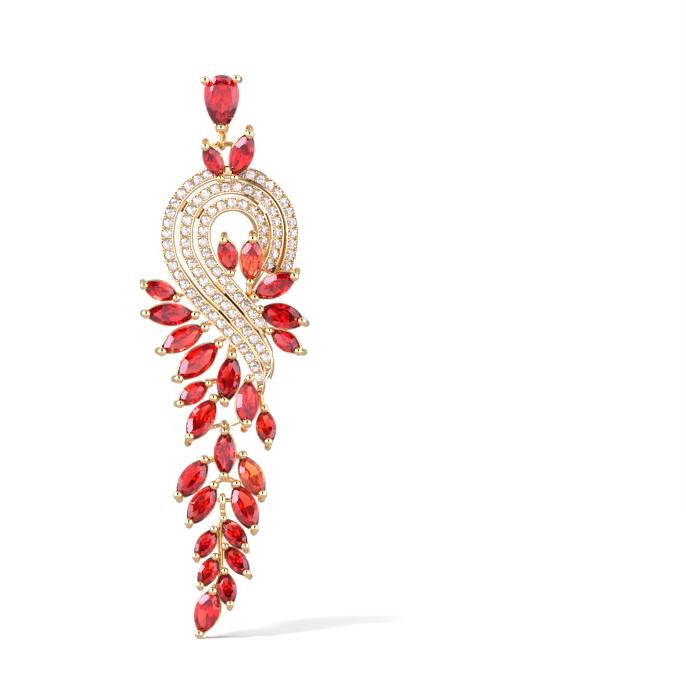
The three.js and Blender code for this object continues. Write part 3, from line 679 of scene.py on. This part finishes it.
def stone_frame(node):
    """A leaf stone's frame from its solid: x from tip to tip, z to its table, origin mid-girdle, in mm,
    with the stone's half length and width."""
    mesh = frame["nodes"][node].data
    areas = {}
    for face in mesh.polygons:
        key = tuple(round(value, 3) for value in face.normal)
        areas[key] = areas.get(key, 0.0) + face.area
    front = Vector(max(areas, key=areas.get)).normalized()
    corners = [Vector(corner) / MM for corner in {tuple(round(c, 7) for c in v.co) for v in mesh.vertices}]
    start, end = max(((a, b) for a in corners for b in corners), key=lambda pair: (pair[0] - pair[1]).length)
    span = end - start
    span -= front * span.dot(front)
    along = span.normalized()
    across = front.cross(along)
    middle = (start + end) / 2
    half_width = max(abs((corner - middle).dot(across)) for corner in corners)
    return basis(along, across, front, middle), span.length / 2, 2 * half_width


def leaf_names(body):
    return [node[:-len("_stone")] for node in BODIES[body] if node.endswith("_stone") and node != "stud_stone"]


# --- leaf settings


def prong_parts(ball, height, foot, stem, sides):
    """A prong's notched neck and ball, and its stem from the domed foot up to the shoulder."""
    shoulder = min(-0.35, height - ball - 0.4)
    lower = [(0.0, -foot)] + [(stem * sin(a), -foot + stem * (1 - cos(a))) for a in (0.4, 0.8, 1.2, 1.57)]
    lower += [(stem, shoulder - 0.25), (stem - 0.4 * (stem - NECK), shoulder), (0.0, shoulder + 0.1)]
    upper = [(0.0, shoulder), (NECK, shoulder), (NECK, shoulder + 0.2)]
    start = asin(NECK / ball)
    for i in range(12):
        angle = start + (pi - start) * i / 12
        upper.append((ball * sin(angle), height - ball * cos(angle)))
    upper.append((0.0, height + ball))
    return spun(upper, sides), spun(lower, sides)


def lean_matrix(side, lean, height):
    """Shears a prong outwards below its ball's centre."""
    matrix = Matrix.Identity(4)
    matrix[0][2] = -side * lean
    matrix[0][3] = side * lean * height
    return matrix


def rail_parts(half, half_width, sizes):
    """One side of a leaf's rail, between the two stems, at +y, and of the seat that slopes in under the stone."""
    start = 0.12
    radius = (half ** 2 + (half_width - start) ** 2) / (2 * (half_width - start))
    points = []
    for i in range(11):
        u = half * (2 * i / 10 - 1)
        points.append((u, start + sqrt(radius ** 2 - u ** 2) - (radius - half_width + start), -0.5))
    route = Route(points, fineness=3)
    up = Vector((0, 0, 1))
    places = []
    for i in range(21):
        place, along, _ = route.at(route.length * i / 20)
        places.append(basis(along.cross(up), up, along, place))
    x, y, c = sizes.rail / MM / 2, 0.24, 0.05  # half thickness, half height and the edges' chamfer
    rail = ((-x, -y), (0, -y), (0, y), (-x + c, y), (-x, y - c))
    seat = ((-x / 2, -y - c), (0.42, -y - c), (0.42, -y), (x / 2, y - c), (-x / 2, y - c))
    return swept(rail, places), swept(seat, places)


def leaf_setting(bm, seats, arms, name, body, sizes):
    """The prongs and rails of one leaf, the seats under its stone, and its keel and arm."""
    matrix, half_length, width = stone_frame(f"{name}_stone")
    kind = "small" if width < SMALL_LEAF else "large"
    ball = (sizes.small_ball if kind == "small" else sizes.ball) / MM
    stem = sizes.stem / MM if kind == "large" else SMALL_STEM * sizes.stem / MM
    height = BALL_HEIGHT[kind]
    foot = GIRDLE / 2 + PAVILION * width + FOOT
    half = half_length + STONE_TO_STEM
    for whole, part in zip((bm, arms), prong_parts(ball, height, foot, stem, 20)):
        join(whole, part, [matrix @ shift(side * half, 0, 0) @ lean_matrix(side, STEM_LEAN, height)
                           for side in (-1, 1)])
    rails = rail_parts(half + SEAT_INSET, width / 2 + SEAT_INSET - sizes.rail / MM / 2, sizes)
    for whole, part in zip((bm, seats), rails):
        join(whole, part, [matrix @ turned(angle, "Z") for angle in (0, 180)])
    reach = half + STEM_LEAN * (height + foot)
    heels = [matrix @ Vector((side * reach, 0, 0.2 - foot)) for side in (-1, 1)]
    if name in KEELED:
        add_rod(arms, heels, KEEL)
    if name in ARM_ENDS:
        end = Vector(ARM_ENDS[name]) + Vector((0, DROP_Y[body], 0))
        add_rod(arms, [min(heels, key=lambda place: (place - end).length), end], ARM)


# --- ribbon


def band_route(band):
    """The middle line of a ribbon band, in the part's frame."""
    points = []
    turns = []
    for angle in range(band.start, 180, 15):
        stretch = LOOP_STRETCH if angle < 0 else 1.0
        points.append((band.centre_x + band.radius * cos(radians(angle)),
                       MAIN_Y + LOOP_BACK * smoothstep((90 - angle) / 110),
                       band.centre_z + band.radius * sin(radians(angle)) * stretch))
        turns.append(LOOP_TWIST * smoothstep((90 - angle) / 70))
    points += [(x, MAIN_Y, z) for x, z in band.lower]
    return Route(points, turns + [0.0] * len(band.lower), 8)


def band_width_at(band, route, distance):
    share = distance / route.length
    return 1 - (1 - BAND_TIP) * max((share - band.taper) / (1 - band.taper), 0)


def band_places(band, step, inset=0.0):
    """Places along a band, about a step apart and narrowing with it."""
    route = band_route(band)
    count = round(route.length / step)
    distances = [inset + (route.length - 2 * inset) * i / count for i in range(count + 1)]
    return [route.frame_at(distance, band_width_at(band, route, distance)) for distance in distances]


def ribbon_band(bm, band, sizes):
    """A band: a channel between two raised polished rims, on a solid back with rounded edges."""
    half, deep, r = BAND_WIDTH / 2, BAND_DEPTH / 2, ROUNDED
    rim = sizes.rim / MM
    corners = ((-half + r, -deep), (half - r, -deep), (half, -deep + r), (half, deep - 0.05),
               (half - 0.05, deep), (half - rim + 0.04, deep), (half - rim, deep - 0.04), (half - rim, CHANNEL),
               (-half + rim, CHANNEL), (-half + rim, deep - 0.04), (-half + rim - 0.04, deep), (-half + 0.05, deep),
               (-half, deep - 0.05), (-half, -deep + r))
    join(bm, swept(corners, band_places(band, 0.45)))


def gap_beside(band, distance):
    """How far the next band's middle line is, and the gap up to its edge, at a distance along the band."""
    route, other = band_route(band), BANDS[BANDS.index(band) + 1]
    beside = band_route(other)
    place = route.at(distance)[0]
    near = beside.nearest(place.x, place.z)
    apart = (beside.at(near)[0] - place).length
    widths = band_width_at(band, route, distance) + band_width_at(other, beside, near)
    return apart, apart - BAND_WIDTH * widths / 2


def flared_wall(bm, band):
    """The lower part of a band's inner wall, which spreads towards the back."""
    route = band_route(band)
    count = round(route.length / 0.6)
    places = []
    for i in range(count + 1):
        distance = route.length * i / count
        reach = LAST_FLARE
        if band is not BANDS[-1]:
            share = smoothstep((route.at(distance)[0].z - CROSSING[0]) / (CROSSING[1] - CROSSING[0]))
            reach = WALL_FLARE[0] + (WALL_FLARE[1] - WALL_FLARE[0]) * share
            reach = min(reach, max(gap_beside(band, distance)[1] - SLIT, 0.03))
        edge = BAND_WIDTH / 2 * band_width_at(band, route, distance) - 0.02
        places.append(route.frame_at(distance) @ shift(edge, 0, 0) @ Matrix.Diagonal((reach, 1, 1, 1)))
    join(bm, swept(((0, -0.65), (1, -0.65), (1, -0.1), (0, 0.62)), places))


def add_strap(bm, strap, share=1.0, lower=0.0):
    """A short bar across the slot inside a band, or across a share of it from its outer side."""
    band = BANDS[strap.band]
    route = band_route(band)
    distance = route.nearest(strap.x, strap.z)
    apart, gap = gap_beside(band, distance)
    width = (gap + STRAP_HOLD) * share
    across = (apart - gap - STRAP_HOLD + width) / 2
    place = route.frame_at(distance) @ shift(across, strap.front - lower - STRAP_SIZE[0] / 2, 0)
    add_plate(bm, (width, *STRAP_SIZE), 0.08, 1, place)


def slot_floor(bm, outer, inner, start, end, level):
    """Closes the slot between two bands from one distance along the outer band to another, at a level."""
    route, beside = band_route(outer), band_route(inner)
    count = round((end - start) / 0.5)
    points, turns, widths = [], [], []
    for i in range(count + 1):
        place, _, turn = route.at(start + (end - start) * i / count)
        other = beside.at(beside.nearest(place.x, place.z))[0]
        points.append((place + other) / 2)
        turns.append(turn)
        widths.append((place - other).length - BAND_WIDTH + 2 * STRAP_HOLD)
    middle = Route(points, turns, 2)
    places = [middle.frame_at(middle.length * (i / count), widths[i]) @ shift(0, level, 0)
              for i in range(count + 1)]
    join(bm, swept(((-0.5, -0.2), (0.5, -0.2), (0.5, 0.2), (-0.5, 0.2)), places))


def crown_plate(bm):
    """The plate between the crown leaves' feet, on the outer band."""
    route = band_route(BANDS[0])
    place = route.frame_at(route.nearest(CROWN_SEAT.x, CROWN_SEAT.z))
    leaning = shift(0, CROWN_SEAT.forward, 0) @ turned(CROWN_SEAT.tilt, "Z")
    add_plate(bm, CROWN_SEAT.plate, CROWN_SEAT.rounded, 2, place @ leaning)


def plain_rim(bm):
    """The plain polished bar along the ribbon's right-hand edge, down to its two balls."""
    for x, z in RIM_BALLS:
        place = shift(x, MAIN_Y - RIM_BALL.forward, z)
        bmesh.ops.create_uvsphere(bm, u_segments=16, v_segments=10, radius=RIM_BALL.radius, matrix=place)
    route = Route(moved(PLAIN_RIM, MAIN_Y))
    places = []
    for i in range(41):
        share = i / 40
        (a, wide), (b, narrow) = next(pair for pair in zip(PLAIN_RIM_WIDTHS, PLAIN_RIM_WIDTHS[1:])
                                      if share <= pair[1][0])
        places.append(route.frame_at(route.length * share, wide + (narrow - wide) * (share - a) / (b - a)))
    join(bm, swept(oval(16, *PLAIN_RIM_SECTION), places))


def band_stones(band):
    """The places of a band's small stones and of the beads between them, but for where the crown leaves sit."""
    route = band_route(band)
    first = route.nearest(*band.first)
    last = route.nearest(*band.last)
    count = round((last - first) / PAVE.pitch)
    pitch = (last - first) / count
    stones = [route.frame_at(first + pitch * i) for i in range(count + 1)]
    beads = [first + pitch * (i + 0.5) for i in range(-1, count)]
    beads = [route.frame_at(distance) for distance in beads if distance > 0.1]
    return [[place for place in places if hypot(
        place.translation.x - CROWN_SEAT.x, place.translation.z - CROWN_SEAT.z) > CROWN_SEAT.reach]
        for places in (stones, beads)]


# --- settings that a user would change


def hue(name, description, code):
    """A colour setting, from its sRGB hex value."""
    return FloatVectorProperty(name=name, description=description, subtype="COLOR", size=4, min=0, max=1,
                               default=srgb(code))


def length(name, description, millimetres):
    """A length setting, from its default in millimetres."""
    return FloatProperty(name=name, description=description, unit="LENGTH", default=millimetres * MM)


class EARRING_PG_metal(bpy.types.PropertyGroup):
    colour: hue("Gold", "Colour of the polished plating", "#F8D8A6")
    # Painted highlight: a paler gold for the ribbon's faces towards the front.
    rim_highlight_colour: hue("Rims", "Colour of the ribbon's polished rims", "#FCEED4")
    deep_colour: hue("Cut gold", "Colour of the gold between small stones", "#FFDEAC")
    # Painted shade: a deeper orange gold for the ribbon's walls and for the satin arms, stems and slot floors.
    wall_shade_colour: hue("Walls", "Colour of the satin gold on walls and arms", "#F0BC6A")
    # Painted shade: dark brown for the dark slot floors, the dark straps and the seats under the stones.
    recess_shade_colour: hue("Recess", "Colour of the gold at the bottom of the slots", "#4A3016")
    roughness: FloatProperty(name="Roughness", description="Roughness of the polish", min=0, max=1, default=0.035)


class EARRING_PG_stones(bpy.types.PropertyGroup):
    red_face: hue("Red surface", "Tint at the surface of the red stones", "#FFC8C8")
    red_shade: hue("Red clouds", "Tint of the clouds in the red stones", "#FFA8A8")
    red: hue("Red", "Colour inside the red stones", "#FF3045")
    coral_face: hue("Coral surface", "Tint at the surface of the coral stones", "#FFD0C0")
    coral_shade: hue("Coral clouds", "Tint of the clouds in the coral stones", "#FFB090")
    coral: hue("Coral", "Colour inside the coral stones", "#FF6040")
    orange_face: hue("Orange surface", "Tint at the surface of the orange stones", "#FFD090")
    orange_shade: hue("Orange clouds", "Tint of the clouds in the orange stones", "#FFA860")
    orange: hue("Orange", "Colour inside the orange stones", "#FFA040")
    clear: hue("Clear", "Colour of the small clear stones", "#FBF4F8")
    glint: hue("Glint", "Colour of the reflections on the coloured stones", "#F8CCE6")
    ior: FloatProperty(name="IOR", description="Refractive index of the crystal", min=1, max=3, default=2.0)


class EARRING_PG_sizes(bpy.types.PropertyGroup):
    ball: length("Ball", "Radius of a large prong's ball", 0.67)
    small_ball: length("Small ball", "Radius of a small prong's ball", 0.61)
    stem: length("Stem", "Radius of a prong's stem", 0.54)
    rail: length("Rail", "Thickness of a leaf's rail", 0.24)
    rim: length("Rim", "Thickness of a ribbon band's rim", 0.23)
    pave: length("Pave stone", "Diameter of a small clear stone", 1.38)
    bead: length("Bead", "Radius of a bead between small stones", 0.19)


class EARRING_PG_studio(bpy.types.PropertyGroup):
    key: FloatProperty(name="Left light", description="Strength of the light at the left", min=0, default=2.1)
    fill: FloatProperty(name="Right light", description="Strength of the light at the right", min=0, default=0.8)


GROUPS = {
    "earring_metal": EARRING_PG_metal,
    "earring_stones": EARRING_PG_stones,
    "earring_sizes": EARRING_PG_sizes,
    "earring_studio": EARRING_PG_studio,
}


# --- operators


class EARRING_OT_leaf_stones(bpy.types.Operator):
    """Cuts the marquise stone of each leaf"""
    bl_idname = "earring.leaf_stones"
    bl_label = "Leaf stones"

    def execute(self, context):
        for body in DROP_Y:
            for name in leaf_names(body):
                matrix, half, width = stone_frame(f"{name}_stone")
                bm = cut_stone(leaf_corners(half, width / 2, 14), width, LEAF_CUT)
                bmesh.ops.transform(bm, matrix=matrix, verts=bm.verts)
                look = ("flame_orange_zirconia" if name in ORANGE else
                        "coral_red_zirconia" if name in CORAL else "ruby_red_zirconia")
                finish_piece(bm, f"{name}_marquise", body, look, [f"{name}_stone"])
        return {"FINISHED"}


class EARRING_OT_stud(bpy.types.Operator):
    """Builds the pear stone and its setting with the eye and the ear post"""
    bl_idname = "earring.stud"
    bl_label = "Stud"

    def execute(self, context):
        sizes = context.scene.earring_sizes
        to_front = turned(90, "X")
        culet = Vector((0, PEAR.culet_z))
        bm = cut_stone([corner - culet for corner in pear_corners()], PEAR.cut_width, PEAR_CUT)
        place = shift(0, STUD.girdle_y, culet.y) @ to_front
        bmesh.ops.transform(bm, matrix=place, verts=bm.verts)
        finish_piece(bm, "stud_pear", "stud", "ruby_red_zirconia", ["stud_stone"])

        bm, stems = bmesh.new(), bmesh.new()
        plate = swept(pear_corners(-STUD.inset), [to_front, to_front @ shift(0, 0, STUD.plate)])
        round_edges(plate, STUD.rounded)
        join(bm, plate)
        middle = [Vector((corner.x, STUD.rail_y, corner.y))
                  for corner in pear_corners(-STUD.rail_inset, STUD.rail_tip_z)]
        front = Vector((0, -1, 0))
        places = []
        for i in range(len(middle) + 1):
            before, here, after = (middle[(i + k) % len(middle)] for k in (-1, 0, 1))
            along = (after - before).normalized()
            places.append(basis(front.cross(along), front, along, here))
        join(bm, swept(oval(12, STUD.rail, STUD.rail), places, closed=True))
        height = -STUD.ball_y
        prong_places = [
            shift(x, 0, z) @ to_front @ turned(degrees(atan2(lean_z, lean_x)), "Z")
            @ lean_matrix(1, lean, height) for x, z, lean_x, lean_z, lean in STUD_PRONGS]
        for whole, part in zip((bm, stems), prong_parts(sizes.ball / MM, height, -0.05, sizes.stem / MM, 24)):
            join(whole, part, prong_places)
        for x, z, lean_x, lean_z, _ in STUD_PRONGS:
            y, inward, outward = STUD.brace_y, STUD.brace_in, STUD.brace_out
            inside = (x * inward, y, PEAR.wide_z + (z - PEAR.wide_z) * inward)
            add_rod(bm, [(x + outward * lean_x, y, z + outward * lean_z), inside], STUD.brace)
        eye = [(EYE.half_width * cos(a), HANG_Y, EYE.z + EYE.half_height * sin(a))
               for a in (tau * i / 24 for i in range(25))]
        add_rod(stems, eye, EYE.wire, round_ends=False, step=0.2)
        for side in (-1, 1):
            add_rod(stems, [(side * x, y, z) for x, y, z in EYE_LEG], EYE.leg)
        add_rod(bm, [(0, -0.1, 0), (0, POST.length, 0)], POST.radius, sides=20)
        finish_piece(bm, "stud_mount", "stud", "polished_gold_plate", ["stud_setting"], 35)
        finish_piece(stems, "stud_stems", "stud", "satin_gold_painted_shade", smooth_angle=45)
        return {"FINISHED"}


class EARRING_OT_link(bpy.types.Operator):
    """Bends the ring that hangs the main drop from the stud"""
    bl_idname = "earring.link"
    bl_label = "Hanging ring"

    def execute(self, context):
        bm = bmesh.new()
        add_ring(bm, RINGS["link"])
        place = shift(0, HANG_Y, 0) @ turned(LINK_TURN, "Z") @ shift(0, -HANG_Y, 0)
        bmesh.ops.transform(bm, matrix=place, verts=bm.verts)
        finish_piece(bm, "hanging_ring", "link", "polished_gold_plate", ["hanging_link"], 60)
        return {"FINISHED"}


class EARRING_OT_settings(bpy.types.Operator):
    """Builds the prongs, rails, arms and wires that carry the leaves"""
    bl_idname = "earring.settings"
    bl_label = "Leaf settings"

    def execute(self, context):
        sizes = context.scene.earring_sizes
        for body, replaced in (("main_drop", []), ("middle_drop", ["middle_frame"]), ("tail_drop", ["tail_frame"])):
            bm, seats, arms = bmesh.new(), bmesh.new(), bmesh.new()
            for name in leaf_names(body):
                leaf_setting(bm, seats, arms, name, body, sizes)
            for wire in WIRES[body]:
                for side in ((-1, 1) if wire.spread else (0,)):
                    add_rod(bm if wire.spread else arms, moved(wire.points, DROP_Y[body], side * wire.spread),
                            wire.diameter / 2 - 0.5 * wire.spread)
            if body in RINGS:
                add_ring(bm, RINGS[body])
            finish_piece(bm, f"{body}_settings", body, "polished_gold_plate", replaced, 45)
            # The seats under the stones get the dark recess gold: painted shade under the stones.
            finish_piece(seats, f"{body}_seats", body, "painted_shade_recess", smooth_angle=45)
            finish_piece(arms, f"{body}_arms", body, "satin_gold_painted_shade", smooth_angle=45)
        return {"FINISHED"}


class EARRING_OT_ribbon(bpy.types.Operator):
    """Builds the three ribbon bands with their rims, straps and plain edge"""
    bl_idname = "earring.ribbon"
    bl_label = "Ribbon"

    def execute(self, context):
        bm, floors, dark = bmesh.new(), bmesh.new(), bmesh.new()
        for band in BANDS:
            ribbon_band(bm, band, context.scene.earring_sizes)
            flared_wall(bm, band)
        for strap in STRAPS:
            add_strap(floors, strap, GOLD_SHARE)
            # A full-width dark copy of each strap, set back a little, shows beside its gold share: painted shade in
            # the slot.
            add_strap(dark, strap, lower=0.1)
        add_strap(bm, RAISED_STRAP)
        crown_plate(bm)
        for part, band, start, end, level in SLOT_FLOORS:
            route = band_route(BANDS[band])
            slot_floor(dark if part == "dark" else floors, BANDS[band], BANDS[band + 1],
                       max(route.nearest(*start), 1.2), route.nearest(*end), level)
        finish_piece(floors, "slot_floors", "main_drop", "satin_gold_painted_shade", smooth_angle=30)
        finish_piece(dark, "slot_shadows", "main_drop", "painted_shade_recess")
        plain_rim(bm)
        finish_piece(bm, "ribbon_bands", "main_drop", "polished_plate_painted_light", ["main_frame"], 30)
        return {"FINISHED"}


class EARRING_OT_pave(bpy.types.Operator):
    """Sets the small clear stones and the gold beads that hold them"""
    bl_idname = "earring.pave"
    bl_label = "Pave"

    def execute(self, context):
        sizes = context.scene.earring_sizes
        radius = sizes.pave / MM / 2
        bead = sizes.bead / MM
        foot, top = PAVE.claw_foot, PAVE.claw_top
        half_bed = BAND_WIDTH / 2 - sizes.rim / MM + 0.03
        to_front = turned(-90, "X")
        profile = [(0.0, foot), (bead, foot)]
        profile += [(bead * cos(a), top + bead * sin(a)) for a in (0.2, 0.7, 1.15)]
        claws = bmesh.new()
        join(claws, spun(profile + [(0.0, top + bead)], 8), [
            shift(side * PAVE.claw_x, 0, step) @ to_front
            for side in (-1, 1) for step in (-PAVE.claw_z, PAVE.claw_z)])
        hand = random.Random(7)
        stones, beads, bed = bmesh.new(), bmesh.new(), bmesh.new()
        set_at, claws_at = [], []
        for band in BANDS:
            stone_places, bead_places = band_stones(band)
            for place in stone_places:
                tilt = turned(hand.uniform(-PAVE.tilt, PAVE.tilt), "X")
                tilt @= turned(hand.uniform(-PAVE.tilt, PAVE.tilt), "Z")
                tilt @= turned(hand.uniform(0, PAVE.turn), "Y")
                set_at.append(place @ shift(0, PAVE.girdle, 0) @ tilt @ to_front)
            claws_at += bead_places
            section = [(-half_bed, BED[0]), (half_bed, BED[0]), (half_bed, BED[1]), (-half_bed, BED[1])]
            join(bed, swept(section, band_places(band, 0.6, 0.15)))
        join(stones, cut_stone(oval(16, radius, radius), PAVE.cut_width * radius, ROUND_CUT), set_at)
        join(beads, claws, claws_at)
        finish_piece(stones, "pave_stones", "main_drop", "clear_zirconia")
        finish_piece(beads, "pave_beads", "main_drop", "polished_gold_plate", smooth_angle=50)
        finish_piece(bed, "pave_bed", "main_drop", "graver_cut_gold", smooth_angle=50)
        return {"FINISHED"}


class EARRING_OT_studio(bpy.types.Operator):
    """Lays the pale floor and sets up the lights and the camera"""
    bl_idname = "earring.studio"
    bl_label = "Studio"

    def execute(self, context):
        scene = context.scene
        studio = scene.earring_studio
        scene.view_settings.view_transform = "Standard"
        bm = bmesh.new()
        place = shift(0, 0.14, CAD_BOUNDS[0][2] - 0.0002) @ Matrix.Diagonal((1.4, 1, 1, 1))
        bmesh.ops.create_grid(bm, x_segments=1, y_segments=1, size=0.21, matrix=place)
        mesh = as_mesh(bm, "studio_floor")
        mesh.materials.append(material_for("white_lacquered_board"))
        floor = bpy.data.objects.new("studio_floor", mesh)
        floor.visible_glossy = False
        scene.collection.objects.link(floor)
        scene.world = bpy.data.worlds.new("studio_tent")
        scene.world.use_nodes = True
        scene.world.node_tree.nodes.clear()
        tent_light(scene.world.node_tree)
        for name, power, angle, travel in (("left_light", studio.key, 10, (0.27, 0.5, -0.82)),
                                           ("right_light", studio.fill, 11, (-0.25, 0.34, -0.9))):
            light = bpy.data.lights.new(name, "SUN")
            light.energy = power
            light.angle = radians(angle)
            lamp = bpy.data.objects.new(name, light)
            lamp.rotation_euler = Vector(travel).to_track_quat("-Z", "Y").to_euler()
            lamp.visible_glossy = lamp.visible_transmission = False
            scene.collection.objects.link(lamp)
        lens = bpy.data.cameras.new("camera")
        lens.lens = 160
        lens.sensor_width = 36
        lens.clip_start = 0.01
        camera = bpy.data.objects.new("camera", lens)
        camera.location = (0.0178, -0.45, -0.0359)
        camera.rotation_euler = (pi / 2, 0, 0)
        scene.collection.objects.link(camera)
        scene.camera = camera
        return {"FINISHED"}


def tent_light(tree):
    """A light tent: a white backdrop and even light for the floor. What polished surfaces see is bright in front
    and above, with a strong box at the left, a weak one at the right and a dark slot between them above the camera.
    What shows through the stones is softer."""
    place = add_node(tree, "TexCoord")
    axes = add_node(tree, "SeparateXYZ", links={"Vector": place.outputs["Generated"]}).outputs
    parts = {"facing": add_node(tree, "Math", {1: 0.0}, {0: axes["Y"]}, operation="LESS_THAN")}
    for kind, ramps in (("SMOOTHSTEP", SOFT_RAMPS), ("LINEAR", SLOT_RAMPS)):
        for name, (axis, start, end, low, high) in ramps.items():
            ends = {"From Min": start, "From Max": end, "To Min": low, "To Max": high}
            parts[name] = add_node(tree, "MapRange", ends, {"Value": axes[axis]}, interpolation_type=kind)
    for name, factors in PRODUCTS.items():
        first, *others = (parts[factor] for factor in factors.split())
        for other in others:
            first = add_node(tree, "Math", links={0: first, 1: other}, operation="MULTIPLY")
        parts[name] = first
    for name, operation, *terms in SUMS:
        links = {i: parts[term] for i, term in enumerate(terms) if term in parts}
        values = {i: term for i, term in enumerate(terms) if term not in parts}
        parts[name] = add_node(tree, "Math", values, links, operation=operation)
    rays = add_node(tree, "LightPath").outputs
    mixed = add_node(tree, "Mix", links={
        "A": parts["for_gold"], "B": parts["through_stones"], "Factor": rays["Is Transmission Ray"]})
    for level, ray in ((FLOOR_FILL, "Is Diffuse Ray"), (1.0, "Is Camera Ray")):
        mixed = add_node(tree, "Mix", {"B": level}, {"A": mixed, "Factor": rays[ray]})
    tent = add_node(tree, "Background", {"Color": WHITE}, {"Strength": mixed})
    add_node(tree, "OutputWorld", links={"Surface": tent})


OPERATORS = (
    EARRING_OT_leaf_stones, EARRING_OT_stud, EARRING_OT_link, EARRING_OT_settings, EARRING_OT_ribbon,
    EARRING_OT_pave, EARRING_OT_studio,
)


class EARRING_PT_panel(bpy.types.Panel):
    """Lists the earring's settings and the steps that build it"""
    bl_idname = "EARRING_PT_panel"
    bl_label = "Leaf drop earring"
    bl_space_type = "VIEW_3D"
    bl_region_type = "UI"
    bl_category = "Earring"

    def draw(self, context):
        for group in GROUPS:
            settings = getattr(context.scene, group)
            for name in settings.__annotations__:
                self.layout.prop(settings, name)
        for operator in OPERATORS:
            self.layout.operator(operator.bl_idname)


CLASSES = (*GROUPS.values(), *OPERATORS, EARRING_PT_panel)


def register():
    for kind in CLASSES:
        bpy.utils.register_class(kind)
    for name, group in GROUPS.items():
        setattr(bpy.types.Scene, name, PointerProperty(type=group))


def unregister():
    for name in GROUPS:
        delattr(bpy.types.Scene, name)
    for kind in reversed(CLASSES):
        bpy.utils.unregister_class(kind)


def main():
    register()
    bpy.ops.earring.studio()
    bpy.ops.earring.leaf_stones()
    bpy.ops.earring.stud()
    bpy.ops.earring.link()
    bpy.ops.earring.settings()
    bpy.ops.earring.ribbon()
    bpy.ops.earring.pave()


if __name__ == "__main__":
    main()
